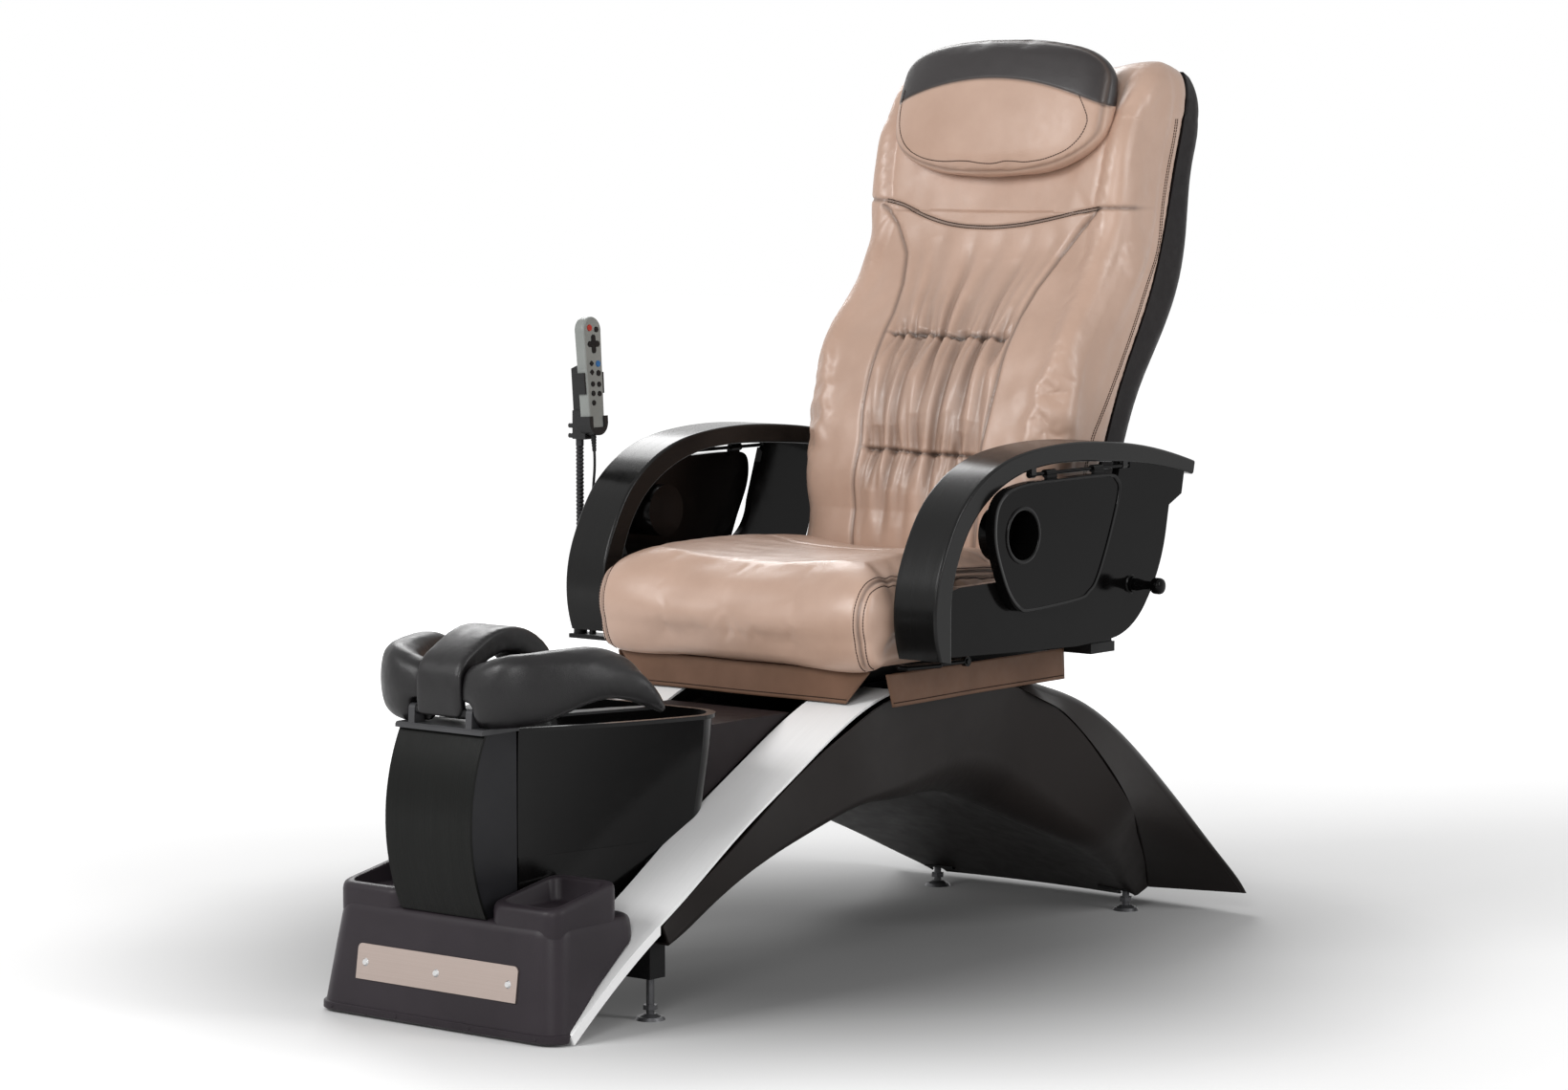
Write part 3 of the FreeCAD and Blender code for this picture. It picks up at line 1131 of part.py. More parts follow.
def cradle():
    """Holder of the handset: plate, two side clips, bottom cup and the stem with its clamp
    round the top of the neck."""
    back = -HANDSET_THICK / 2
    plate = block(back - 3.5, back - 0.4, -15, 15, -80, 8)
    room = Part.Face(handset_outline(back - 0.4, 0.4)).extrude(Vector(HANDSET_THICK + 0.8, 0, 0))
    outer = Part.Face(handset_outline(back - 3.5, 3.6)).extrude(Vector(HANDSET_THICK + 7.0, 0, 0))
    cup = outer.common(block(-40, 40, -40, 40, -110, -66)).cut(room)
    cup = cup.cut(block(2, 40, -13.5, 13.5, -84, 0))
    clips = outer.common(block(-40, 8, -40, 40, -30, 4)).cut(room)
    cup = cup.cut(rod(Vector(0, 0, -120), Vector(0, 0, -80), 6.2))
    stem = block(back - 22, back - 3, -9, 9, -66, 26)
    stem = stem.cut(Part.makeBox(40, 30, 40, Vector(back - 22, -15, 12), Vector(-0.35, 0, 1)))
    holder = on_handset(joined([plate, cup, clips, stem]))
    holder = holder.cut(Part.makeCylinder(NECK_RADIUS, 82, Vector(NECK_X, NECK_Y, NECK_TOP - 82)))
    collar = Part.makeCylinder(11, 26, Vector(NECK_X, NECK_Y, NECK_TOP - 22))
    bridge = block(NECK_X, -391, NECK_Y - 18, NECK_Y + 6, NECK_TOP - 22, NECK_TOP + 24)
    lugs = []
    for z in (NECK_TOP - 17, NECK_TOP - 1):
        lugs.append(rod(Vector(NECK_X - 11, NECK_Y - 12, z), Vector(NECK_X + 2, NECK_Y - 12, z), 4.0))
    clamp = joined([collar, bridge.cut(on_handset(outer))] + lugs)
    clamp = clamp.cut(Part.makeCylinder(NECK_RADIUS, 22, Vector(NECK_X, NECK_Y, NECK_TOP - 22)))
    return joined([holder, clamp])


def gooseneck():
    """Ribbed metal hose with its bore. It stands straight between the bracket and clamp."""
    ribs = 44
    plain = 2 * NECK_RADIUS
    low = SEAT_BASE + 2
    bottom = low + 20 + plain
    top = NECK_TOP - 22 - plain
    pitch = (top - bottom) / ribs
    root = NECK_RADIUS - 1.1

    def circle(z, r):
        ring = Part.Circle(Vector(NECK_X, NECK_Y, z), Vector(0, 0, 1), r)
        ring.XAxis = Vector(1, 0, 0)
        return Part.Wire(ring.toShape())

    rings = [circle(low, NECK_RADIUS), circle(bottom - pitch * 0.2, NECK_RADIUS)]
    for k in range(ribs):
        z = bottom + k * pitch
        rings += [circle(z, root), circle(z + pitch * 0.3, NECK_RADIUS),
                  circle(z + pitch * 0.62, NECK_RADIUS),
                  circle(z + pitch * 0.9, root)]
    rings += [circle(top + pitch * 0.2, NECK_RADIUS), circle(NECK_TOP, NECK_RADIUS)]
    hose = Part.makeLoft(rings, True, True)
    return hose.cut(Part.makeCylinder(3.2, 500, Vector(NECK_X, NECK_Y, low - 10)))


def cord_boot():
    """Tapered strain relief below the handset, with shallow rings."""
    start = -HANDSET_HALF + 1.0
    boot = Part.makeCone(5.2, 3.2, BOOT_LENGTH, Vector(0, 0, start), Vector(0, 0, -1))
    for k in range(5):
        z = start - 6 - 4.6 * k
        groove = Part.makeCylinder(8, 1.6, Vector(0, 0, z)).cut(Part.makeCylinder(4.2 - 0.28 * k, 1.6,
                                                                                  Vector(0, 0, z)))
        boot = boot.cut(groove)
    return on_handset(boot).cut(handset())


def below_handset(reach):
    """A point on the handset's long axis, so far below its centre."""
    turn = math.radians(HANDSET_LEAN)
    x, y, z = HANDSET_CENTRE
    return x + reach * math.sin(turn), y, z - reach * math.cos(turn)


# Route of the handset's cord, from its boot to the gland on the seat's bracket
CORD_ROUTE = [below_handset(BOOT_END), below_handset(BOOT_END + 21.0), (-387, 792, 713), (-392, 795, 670),
              (-395, 797, 621), (-391, 800, 573), (-394, 802, 528),
              (CORD_GLAND[0], CORD_GLAND[1], SEAT_BASE + 12.3)]


def handset_cord():
    """Round cord along straight runs joined by tangent arcs."""
    points = [Vector(*p) for p in CORD_ROUTE]
    edges = []
    start = points[0]
    for i in range(1, len(points) - 1):
        before = points[i - 1].sub(points[i])
        after = points[i + 1].sub(points[i])
        short = min(before.Length, after.Length)
        turn = math.pi - before.getAngle(after)
        radius = 0.45 * short / math.tan(turn / 2)
        before.normalize()
        after.normalize()
        a = points[i].add(Vector(before).multiply(0.45 * short))
        b = points[i].add(Vector(after).multiply(0.45 * short))
        inward = before.add(after)
        inward.normalize()
        middle = points[i].add(inward.multiply(radius / math.cos(turn / 2) - radius))
        edges.append(Part.LineSegment(start, a).toShape())
        edges.append(Part.Arc(a, middle, b).toShape())
        start = b
    edges.append(Part.LineSegment(start, points[-1]).toShape())
    path = Part.Wire(edges)
    length = path.Length
    first = points[1].sub(points[0])
    ring = Part.Wire(Part.Circle(points[0], first, CORD_RADIUS).toShape())
    tube = path.makePipeShell([ring], True, False)
    print("cord length %.1f, volume over section times length %.4f"
          % (length, tube.Volume / (math.pi * CORD_RADIUS ** 2 * length)))
    return tube


def make_all():
    cover = arch_cover()
    save("base_frame", base_frame().cut(cover))
    save("arch_cover", cover)
    save("tail_cover", tail_cover())
    save("trim_bands", trim_bands())
    save("front_base", front_base())
    save("kick_plate", kick_plate())
    save("plate_screws", plate_screws())
    for end, y, top in (("front", FRONT_FOOT_Y, 84.0), ("rear", REAR_FOOT_Y, 58.0)):
        save("foot_" + end + "_left", levelling_foot(FOOT_X, y, top))
        save("foot_" + end + "_right", levelling_foot(-FOOT_X, y, top))
    save("footrest_column", footrest_column())
    save("column_panel", column_panel())
    save("column_cap", column_cap())
    bowl = basin()
    save("basin", bowl)
    save("basin_drain", basin_drain())
    save("pump_housing", pump_housing(bowl))
    save("seat_plate", seat_plate())
    carrier = footrest_carrier()
    save("footrest_carrier", carrier)
    save("footrest_wings", footrest_wings(carrier))
    save("footrest_strap", footrest_strap(carrier))
    save("seat_frame", seat_frame())
    cushion = seat_cushion()
    save("seat_cushion", cushion)
    save("front_skirt", front_skirt(cushion))
    save("side_skirts", side_skirts())
    save("slide_lever", slide_lever())
    save("recline_actuator", recline_actuator())
    save("actuator_rod", actuator_rod())
    shell = back_shell()
    frame = back_frame_whole().cut(shell)
    save("back_frame", frame)
    save("back_shell", shell)
    save("back_cushion", back_cushion().cut(shell).cut(frame))
    save("massage_carriage", massage_carriage())
    save("massage_rollers", massage_rollers())
    save("pillow", pillow())
    for name, side in (("left", 1), ("right", -1)):
        band = arm_band(side)
        save("arm_band_" + name, band)
        save("arm_panel_" + name, arm_panel(side, band))
        save("pull_knob_" + name, pull_knob(side))
        save("tray_" + name, tray(side))
    save("gooseneck", gooseneck())
    save("cradle", cradle())
    save("handset", handset())
    for name in KEYS:
        save(name, key(name))
    save("cord_boot", cord_boot())
    save("handset_cord", handset_cord())


make_all()
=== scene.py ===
# %% [markdown]
# A pedicure spa chair: a padded recliner on an arched base, with a foot basin in front of it.
# The rigid model is loaded first and stays where it is. This lesson dresses it: cushions and
# stitches are made as new meshes, and every rigid piece gets a finish built from nodes.

# %% Load the rigid model
import math
import random

import bmesh
import bpy
import numpy as np
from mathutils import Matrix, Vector
from mathutils.bvhtree import BVHTree


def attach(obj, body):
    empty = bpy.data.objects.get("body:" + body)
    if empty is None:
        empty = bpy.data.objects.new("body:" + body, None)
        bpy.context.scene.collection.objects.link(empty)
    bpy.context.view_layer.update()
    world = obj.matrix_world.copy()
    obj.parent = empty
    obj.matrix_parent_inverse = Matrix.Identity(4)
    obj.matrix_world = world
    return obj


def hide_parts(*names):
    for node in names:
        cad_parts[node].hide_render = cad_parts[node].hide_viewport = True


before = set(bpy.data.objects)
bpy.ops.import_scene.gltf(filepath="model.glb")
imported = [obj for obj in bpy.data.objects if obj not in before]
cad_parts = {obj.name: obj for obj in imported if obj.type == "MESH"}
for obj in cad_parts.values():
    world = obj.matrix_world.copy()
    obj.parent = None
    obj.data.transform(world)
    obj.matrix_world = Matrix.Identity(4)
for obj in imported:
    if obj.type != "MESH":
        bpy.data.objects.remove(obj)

scene = bpy.context.scene


def new_object(name, data):
    """An object at the origin, unturned and unscaled, linked to the scene."""
    made = bpy.data.objects.new(name, data)
    scene.collection.objects.link(made)
    return made


def mesh_object(name, verts, edges, faces):
    mesh = bpy.data.meshes.new(name)
    mesh.from_pydata(verts, edges, faces)
    return new_object(name, mesh)


def with_settings(made, settings):
    """Sets several values of a node or a modifier in one go."""
    for key, value in settings.items():
        setattr(made, key, value)
    return made


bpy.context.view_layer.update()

# %% [markdown]
# The camera stands on the sitter's left, in front of the chair, a little above the seat. Its
# place came from lining up edges of the chair whose real sizes are known, so the picture and
# the model share one perspective. The standard view transform keeps colours as written.

# %% Camera and colour
STATION_OF_ORIGIN = 0.79975
CAMERA_PLACE = (4.5521, -5.60785, 1.31165)
CAMERA_LOWERED = 5.301
CAMERA_TURNED = 39.058
LENS = 106.93

eye = bpy.data.cameras.new("studio_camera")
eye.sensor_width = 36.0
eye.lens = LENS
eye.clip_end = 60.0
camera = new_object("studio_camera", eye)
camera.location = CAMERA_PLACE
camera.rotation_euler = (math.radians(90.0 - CAMERA_LOWERED), 0.0, math.radians(CAMERA_TURNED))
scene.camera = camera
scene.view_settings.view_transform = "Standard"
print("camera at", CAMERA_PLACE, "with a lens of", LENS, "mm")

# %% [markdown]
# The remote control has a short lead. The photograph shows it leave the control and pass
# behind the armrest; from there down to the seat's bracket its route is a guess. A NURBS spline
# through a few given points bends as softly as rubber does, where straight runs would
# look like wire.

# %% The lead of the remote control
LEAD_POINTS = [
    (-0.397, 0.801, 0.4873), (-0.394, 0.802, 0.528), (-0.391, 0.800, 0.573), (-0.395, 0.797, 0.621),
    (-0.392, 0.795, 0.670), (-0.387, 0.792, 0.713), (-0.38099, 0.790, 0.74985), (-0.38245, 0.790, 0.7708),
]
LEAD_DIAMETER = 0.0045


def from_station(x, station, z):
    """A point given by its distance from the toe of the base, moved to the chair's frame."""
    return (x, station - STATION_OF_ORIGIN, z)


def lead(name, points, diameter):
    line = bpy.data.curves.new(name, "CURVE")
    line.dimensions = "3D"
    line.bevel_depth = diameter / 2
    line.bevel_resolution = 4
    line.use_fill_caps = True
    spline = line.splines.new("NURBS")
    spline.points.add(len(points) - 1)
    for point, place in zip(spline.points, points):
        point.co = (*from_station(*place), 1.0)
    spline.order_u = 3
    spline.use_endpoint_u = True
    spline.resolution_u = 12
    return new_object(name, line)


handset_lead = lead("handset_lead", LEAD_POINTS, LEAD_DIAMETER)
print("lead with", len(LEAD_POINTS), "control points")

# %% [markdown]
# Small tools that the finishes share. A finish is a node tree that ends in one shader. Plain
# numbers are set on the shader's own sockets, and only what varies over the surface is wired
# to them, so that the finish survives an export.

# %% Tools for finishes


class Finish:
    """A material with short words for the few nodes that the finishes here use."""

    def __init__(self, name):
        self.material = bpy.data.materials.new(name)
        self.material.use_nodes = True
        self.tree = self.material.node_tree
        self.shader = self.tree.nodes["Principled BSDF"]
        self.place = self.node("ShaderNodeTexCoord").outputs["Object"]

    def node(self, kind, **settings):
        return with_settings(self.tree.nodes.new(kind), settings)

    def link(self, source, target):
        self.tree.links.new(source, target)

    def at_place(self, kind, numbers, place=None):
        """A node that looks up a place: the object's own unless another is given."""
        made = self.node(kind)
        for socket, number in numbers.items():
            made.inputs[socket].default_value = number
        self.link(place or self.place, made.inputs["Vector"])
        return made.outputs

    def noise(self, scale, detail=3.0, rough=0.55, stretch=None):
        place = self.at_place("ShaderNodeMapping", {"Scale": stretch})["Vector"] if stretch else None
        numbers = {"Scale": scale, "Detail": detail, "Roughness": rough}
        return self.at_place("ShaderNodeTexNoise", numbers, place)["Fac"]

    def cells(self, scale):
        return self.at_place("ShaderNodeTexVoronoi", {"Scale": scale})["Distance"]

    def spread(self, value, low, high, to_low, to_high, **settings):
        made = self.node("ShaderNodeMapRange", **settings)
        self.link(value, made.inputs["Value"])
        limits = (("From Min", low), ("From Max", high), ("To Min", to_low), ("To Max", to_high))
        for socket, number in limits:
            made.inputs[socket].default_value = number
        return made.outputs["Result"]

    def blend(self, factor, first, second):
        made = self.node("ShaderNodeMix", data_type="RGBA")
        self.link(factor, made.inputs["Factor"])
        for socket, colour in ((made.inputs[6], first), (made.inputs[7], second)):
            if isinstance(colour, tuple):
                socket.default_value = (*colour, 1.0)
            else:
                self.link(colour, socket)
        return made.outputs[2]

    def raised(self, height, strength, distance, under=None):
        made = self.node("ShaderNodeBump")
        made.inputs["Strength"].default_value = strength
        made.inputs["Distance"].default_value = distance
        self.link(height, made.inputs["Height"])
        if under is not None:
            self.link(under, made.inputs["Normal"])
        return made.outputs["Normal"]

    def set(self, **numbers):
        for key, value in numbers.items():
            self.shader.inputs[key.replace("_", " ")].default_value = value
        return self

    def wire(self, socket, source):
        self.link(source, self.shader.inputs[socket])
        return self


FINISHES = {}


def kept(finish):
    FINISHES[finish.material.name] = finish.material
    return finish.material


print("finish tools ready")

# %% [markdown]
# Leather is never one colour. Its pores catch the light and it is paler where it is stretched.
# Here the pores are small cells, a slow noise shifts the colour, and an attribute on the
# cushions paints shade into the seams and the bottoms of the folds by darkening their colour.

# %% Leather


def mottled(f, pale, deep):
    return f.blend(f.spread(f.noise(9.0, 4.0), 0.35, 0.65, 0.0, 1.0), pale, deep)


def painted_crease_shade(f, colour, dark):
    """Paints shade into seams and folds: goes over to a dark colour where the shade attribute is high."""
    return f.blend(f.node("ShaderNodeAttribute", attribute_name="painted_shade").outputs["Fac"], colour, dark)


def leather_skin(f, sleek, rough, pore, relief, shine):
    """What all leathers share: uneven roughness, pores, and soft dents under them."""
    f.wire("Roughness", f.spread(f.noise(60.0, 2.0), 0.3, 0.7, sleek, rough))
    pores = f.raised(f.cells(pore), relief, 0.0004)
    f.wire("Normal", f.raised(f.noise(28.0, 3.0), 0.12, 0.003, pores))
    f.set(Specular_IOR_Level=shine)
    return kept(f)


def leather(name, pale, deep, roughness, pore=900.0, relief=0.25, paints_shade=True, shine=0.5):
    f = Finish(name)
    colour = mottled(f, pale, deep)
    # painted shade: the seams and the bottoms of the folds go over to a much darker copy of the deep colour
    if paints_shade:
        colour = painted_crease_shade(f, colour, tuple(c * 0.22 for c in deep))
    f.wire("Base Color", colour)
    return leather_skin(f, roughness - 0.05, roughness + 0.07, pore, relief, shine)


CHAMPAGNE = (0.520, 0.350, 0.268)
CHAMPAGNE_DEEP = (0.460, 0.302, 0.226)
leather("champagne_leather", CHAMPAGNE, CHAMPAGNE_DEEP, 0.35, shine=0.60)
leather("skirt_leather", (0.165, 0.092, 0.060), (0.120, 0.066, 0.042), 0.50, paints_shade=False, shine=0.15)
leather("pad_leather", (0.0075, 0.0068, 0.0072), (0.005, 0.0045, 0.005), 0.37, 700.0, 0.3, shine=0.30)
leather("shell_leather", (0.0115, 0.0092, 0.0095), (0.0085, 0.0068, 0.0072), 0.48, 800.0, 0.3,
        paints_shade=False, shine=0.12)
print("leathers", len(FINISHES))

# %% [markdown]
# The head pillow is made of two leathers that meet along an arc. One material can hold both:
# the height of a point above the arc, worked out from its place, chooses the colour.

# %% The two leathers of the pillow
BAND_ARC_TOP = 1.368
BAND_ARC_BEND = 1.0
BAND_EDGE = 0.0006          # half the width of the change from one leather to the other
BAND_COLOUR = (0.0135, 0.0100, 0.0102)


def pillow_leather():
    f = Finish("pillow_leather")
    parts = f.node("ShaderNodeSeparateXYZ")
    f.link(f.place, parts.inputs[0])
    square = f.node("ShaderNodeMath", operation="MULTIPLY")
    f.link(parts.outputs["X"], square.inputs[0])
    f.link(parts.outputs["X"], square.inputs[1])
    height = f.node("ShaderNodeMath", operation="MULTIPLY_ADD")
    f.link(square.outputs[0], height.inputs[0])
    height.inputs[1].default_value = BAND_ARC_BEND
    f.link(parts.outputs["Z"], height.inputs[2])
    above = f.spread(height.outputs[0], BAND_ARC_TOP - BAND_EDGE, BAND_ARC_TOP + BAND_EDGE, 0.0, 1.0)
    both = f.blend(above, mottled(f, CHAMPAGNE, CHAMPAGNE_DEEP), BAND_COLOUR)
    # painted shade in the seams and folds, as for the other leathers
    f.wire("Base Color", painted_crease_shade(f, both, tuple(c * 0.2 for c in CHAMPAGNE_DEEP)))
    return leather_skin(f, 0.33, 0.43, 900.0, 0.25, 0.45)


pillow_leather()
print("pillow leather with an arc", BAND_ARC_TOP, "m up")

# %% [markdown]
# Moulded plastic and lacquer differ in how rough their skin is. The lacquered arms are smooth
# and nearly black, the covers have a fine matt skin, and the basin is as glossy as glazed ware.

# %% Plastics and lacquers


def moulded(name, colour, roughness, grain=450.0, relief=0.08, shine=0.2):
    f = Finish(name)
    shade = tuple(c * 0.78 for c in colour)
    f.wire("Base Color", f.blend(f.spread(f.noise(5.0, 3.0), 0.4, 0.6, 0.0, 1.0), colour, shade))
    f.wire("Roughness", f.spread(f.noise(35.0, 4.0), 0.3, 0.7, roughness - 0.04, roughness + 0.05))
    f.wire("Normal", f.raised(f.noise(grain, 2.0), relief, 0.0004))
    f.set(Specular_IOR_Level=shine)
    return kept(f)


moulded("cover_satin", (0.0125, 0.0098, 0.0090), 0.36, 380.0, 0.10, 0.14)
moulded("plum_plastic", (0.026, 0.0205, 0.0250), 0.40, 420.0, 0.15, 0.18)
moulded("basin_gloss", (0.0022, 0.0020, 0.0020), 0.19, 120.0, 0.02, 0.20)
moulded("housing_dark", (0.014, 0.010, 0.011), 0.45, 300.0, 0.12, 0.15)
moulded("arm_gloss", (0.0030, 0.0028, 0.0028), 0.13, 90.0, 0.02, 0.08)
moulded("rim_gloss", (0.0038, 0.0036, 0.0036), 0.12, 90.0, 0.01, 0.16)
moulded("column_satin", (0.0160, 0.0158, 0.0180), 0.36, 400.0, 0.08, 0.15)
moulded("cap_plastic", (0.045, 0.045, 0.048), 0.38, 300.0, 0.06, 0.3)
moulded("frame_black", (0.0075, 0.0075, 0.0078), 0.45, 500.0, 0.2, 0.15)
moulded("drive_paint", (0.05, 0.05, 0.053), 0.5, 400.0, 0.15, 0.25)
moulded("roller_rubber", (0.16, 0.16, 0.165), 0.6, 300.0, 0.2)
moulded("cradle_black", (0.014, 0.014, 0.0145), 0.4, 500.0, 0.1, 0.25)
moulded("handset_silver", (0.285, 0.300, 0.285), 0.40, 1500.0, 0.1, 0.4)
moulded("key_black", (0.006, 0.006, 0.0065), 0.45, 2500.0, 0.1, 0.2)
moulded("red_rubber", (0.52, 0.045, 0.030), 0.4, 2500.0, 0.1, 0.3)
moulded("blue_rubber", (0.030, 0.16, 0.42), 0.4, 2500.0, 0.1, 0.3)
moulded("lead_rubber", (0.008, 0.008, 0.008), 0.5, 900.0, 0.1)
moulded("thread_brown", (0.022, 0.010, 0.006), 0.7, 4000.0, 0.4)
print("plastics and lacquers", len(FINISHES))

# %% [markdown]
# Brushed metal is drawn by a noise stretched along the way it was brushed. It tilts the
# surface a little and shifts its roughness. The same stretch makes the lacquer of the armrest
# bands look brushed, and the pale bands on the arch, which are a lacquer too and not metallic.

# %% Metals and brushed lacquer


def brushed(name, colour, roughness, stretch, metallic=1.0, relief=0.15, contrast=0.82, shine=0.5):
    f = Finish(name)
    lines = f.noise(1.0, 4.0, 0.6, stretch)
    dark = tuple(c * contrast for c in colour)
    f.wire("Base Color", f.blend(f.spread(lines, 0.3, 0.7, 0.0, 1.0), dark, colour))
    f.wire("Roughness", f.spread(lines, 0.3, 0.7, roughness + 0.07, roughness - 0.05))
    f.wire("Normal", f.raised(lines, relief, 0.0004))
    f.set(Metallic=metallic, Specular_IOR_Level=shine)
    return kept(f)


brushed("trim_aluminium", (0.92, 0.92, 0.92), 0.38, (900.0, 8.0, 8.0), 0.0, 0.10, 0.94)
brushed("kick_steel", (0.41, 0.335, 0.30), 0.40, (4.0, 900.0, 900.0), 0.55, 0.05, 0.94)
brushed("panel_brushed", (0.0090, 0.0094, 0.0085), 0.30, (1400.0, 12.0, 4.0), 0.2, 0.35, 0.40, 0.12)
brushed("band_brushed", (0.0060, 0.0058, 0.0056), 0.21, (700.0, 5.0, 5.0), 0.0, 0.045, 0.75, 0.19)
brushed("bright_steel", (0.66, 0.66, 0.66), 0.18, (40.0, 40.0, 40.0), 1.0, 0.05)
brushed("zinc_steel", (0.10, 0.10, 0.105), 0.34, (60.0, 60.0, 60.0), 0.6, 0.1)
brushed("hose_steel", (0.035, 0.035, 0.037), 0.26, (50.0, 50.0, 600.0), 0.6, 0.1, 0.8, 0.3)
brushed("ground_steel", (0.55, 0.55, 0.56), 0.22, (500.0, 6.0, 500.0), 1.0, 0.08)
print("all finishes", len(FINISHES))

# %% [markdown]
# Most rigid pieces already have their final shape, so they only need a finish. One table
# says which piece gets which finish. Assigning it replaces the plain colour from the model.

# %% Finishes of the rigid pieces
RIGID_FINISH = {
    "frame_black": ["base_frame", "seat_plate", "seat_frame", "back_frame", "footrest_carrier"],
    "cover_satin": ["arch_cover", "tail_cover"],
    "trim_aluminium": ["trim_bands"],
    "plum_plastic": ["front_base"],
    "kick_steel": ["kick_plate"],
    "bright_steel": ["plate_screws", "basin_drain"],
    "zinc_steel": ["foot_front_left", "foot_front_right", "foot_rear_left", "foot_rear_right"],
    "column_satin": ["footrest_column"],
    "panel_brushed": ["column_panel"],
    "cap_plastic": ["column_cap"],
    "basin_gloss": ["basin"],
    "housing_dark": ["pump_housing"],
    "band_brushed": ["arm_band_left", "arm_band_right"],
    "arm_gloss": ["arm_panel_left", "arm_panel_right", "pull_knob_left", "pull_knob_right",
                  "tray_left", "tray_right", "slide_lever"],
    "drive_paint": ["recline_actuator", "massage_carriage"],
    "ground_steel": ["actuator_rod"],
    "roller_rubber": ["massage_rollers"],
    "hose_steel": ["gooseneck"],
    "cradle_black": ["cradle"],
    "handset_silver": ["handset"],
    "red_rubber": ["key_power"],
    "blue_rubber": ["key_blue"],
    "key_black": ["key_top_right", "key_navigation", "key_left_upper", "key_left_lower",
                  "key_right_lower"] + ["key_round_%d" % k for k in range(1, 6)],
    "lead_rubber": ["cord_boot"],
}


def dress(piece, finish):
    piece.data.materials.clear()
    piece.data.materials.append(FINISHES[finish])


def finished(piece, finish, slot, body, *replaced):
    """Gives a piece its finish, the body it moves with and the nodes it replaces. The slot is not used."""
    dress(piece, finish)
    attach(piece, body)
    if replaced:
        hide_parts(*replaced)


for finish, nodes in RIGID_FINISH.items():
    for node in nodes:
        dress(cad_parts[node], finish)
finished(handset_lead, "lead_rubber", "cord_black", "seat", "handset_cord")
print("dressed", sum(map(len, RIGID_FINISH.values())), "rigid pieces")

# %% [markdown]
# A cushion starts as a copy of the solid that holds its space. A voxel remesh turns it into
# even squares, which a cloth simulation can blow up like leather over foam. How far a point
# may move is capped, so that the cushion keeps its size, and one subdivision smooths it.

# %% Tools for cushions
PUFF_FRAMES = 20


def copy_of(node, name):
    """A welded copy of a rigid piece's mesh, as a new object."""
    shape = bmesh.new()
    shape.from_mesh(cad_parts[node].data)
    bmesh.ops.remove_doubles(shape, verts=shape.verts, dist=1e-5)
    mesh = bpy.data.meshes.new(name)
    shape.to_mesh(mesh)
    shape.free()
    return new_object(name, mesh)


def settle(piece):
    """Turns an object with modifiers into a plain mesh."""
    graph = bpy.context.evaluated_depsgraph_get()
    mesh = bpy.data.meshes.new_from_object(piece.evaluated_get(graph))
    piece.modifiers.clear()
    old = piece.data
    piece.data = mesh
    bpy.data.meshes.remove(old)
    return piece


def modified(piece, kind, **settings):
    """Adds one modifier and keeps what it makes as the mesh."""
    with_settings(piece.modifiers.new(kind.lower(), kind), settings)
    return settle(piece)


def remeshed(piece, voxel):
    return modified(piece, "REMESH", mode="VOXEL", voxel_size=voxel)


def smoothed(piece, rounds):
    return modified(piece, "SMOOTH", iterations=rounds, factor=0.5)


def places(mesh, what="co"):
    flat = np.empty(len(mesh.vertices) * 3)
    mesh.vertices.foreach_get(what, flat)
    return flat.reshape(-1, 3)


def directions(mesh):
    return places(mesh, "normal")


def edged(piece, smooth_below=40.0):
    """Smooth faces, with sharp edges where two meet at more than the given angle."""
    piece.data.shade_smooth()
    piece.data.set_sharp_from_angle(angle=math.radians(smooth_below))
    return piece


def move_to(piece, spots):
    """Gives every vertex a new place."""
    piece.data.vertices.foreach_set("co", spots.ravel())
    piece.data.update()


def puffed(piece, pressure, cap, hold):
    """Inflates a closed mesh with the cloth solver. hold gives how free each point is."""
    before = places(piece.data)
    cloth = piece.modifiers.new("puff", "CLOTH")
    cloth.settings.quality = 4
    cloth.settings.mass = 0.3
    cloth.settings.use_pressure = True
    cloth.settings.uniform_pressure_force = pressure
    cloth.settings.effector_weights.gravity = 0.0
    cloth.collision_settings.use_collision = False
    cloth.collision_settings.use_self_collision = False
    for number in range(1, PUFF_FRAMES + 1):
        scene.frame_set(number)
    graph = bpy.context.evaluated_depsgraph_get()
    after = places(piece.evaluated_get(graph).data)
    piece.modifiers.remove(cloth)
    scene.frame_set(1)
    move = after - before
    reach = np.linalg.norm(move, axis=1)
    move *= (np.minimum(reach, cap) / np.maximum(reach, 1e-9))[:, None]
    move *= hold(before)[:, None]
    move_to(piece, before + move)
    return float(reach.max())


def doubled(piece):
    return modified(piece, "SUBSURF", levels=1, render_levels=1)


def to_line(points, line):
    """Distance from each point to a line of (a, b) corners, in the same two directions."""
    best = np.full(len(points), 9.0)
    for a, b in zip(line[:-1], line[1:]):
        a = np.array(a)
        run = np.array(b) - a
        along = np.clip(((points - a) @ run) / (run @ run), 0.0, 1.0)
        best = np.minimum(best, np.linalg.norm(points - a - along[:, None] * run, axis=1))
    return best


def pushed(piece, amount, painted_shade):
    """Moves each point along its normal and stores how much shade is painted into the colour there."""
    mesh = piece.data
    move_to(piece, places(mesh) + directions(mesh) * amount[:, None])
    mark = mesh.attributes.new("painted_shade", "FLOAT", "POINT")
    mark.data.foreach_set("value", np.clip(painted_shade, 0.0, 1.0))
    mesh.update()
    mesh.shade_smooth()


print("cushion tools ready")

# %% [markdown]
# The seat is a thick cushion with a heavy front roll. Its leather is cut as one long panel
# that runs over the roll, and two side panels. A band with two rows of stitches follows each
# side, so the seam is a groove at a fixed distance from the middle of the seat. The leather
# stands a little wider than its solid, because it nearly fills the space between the arms.

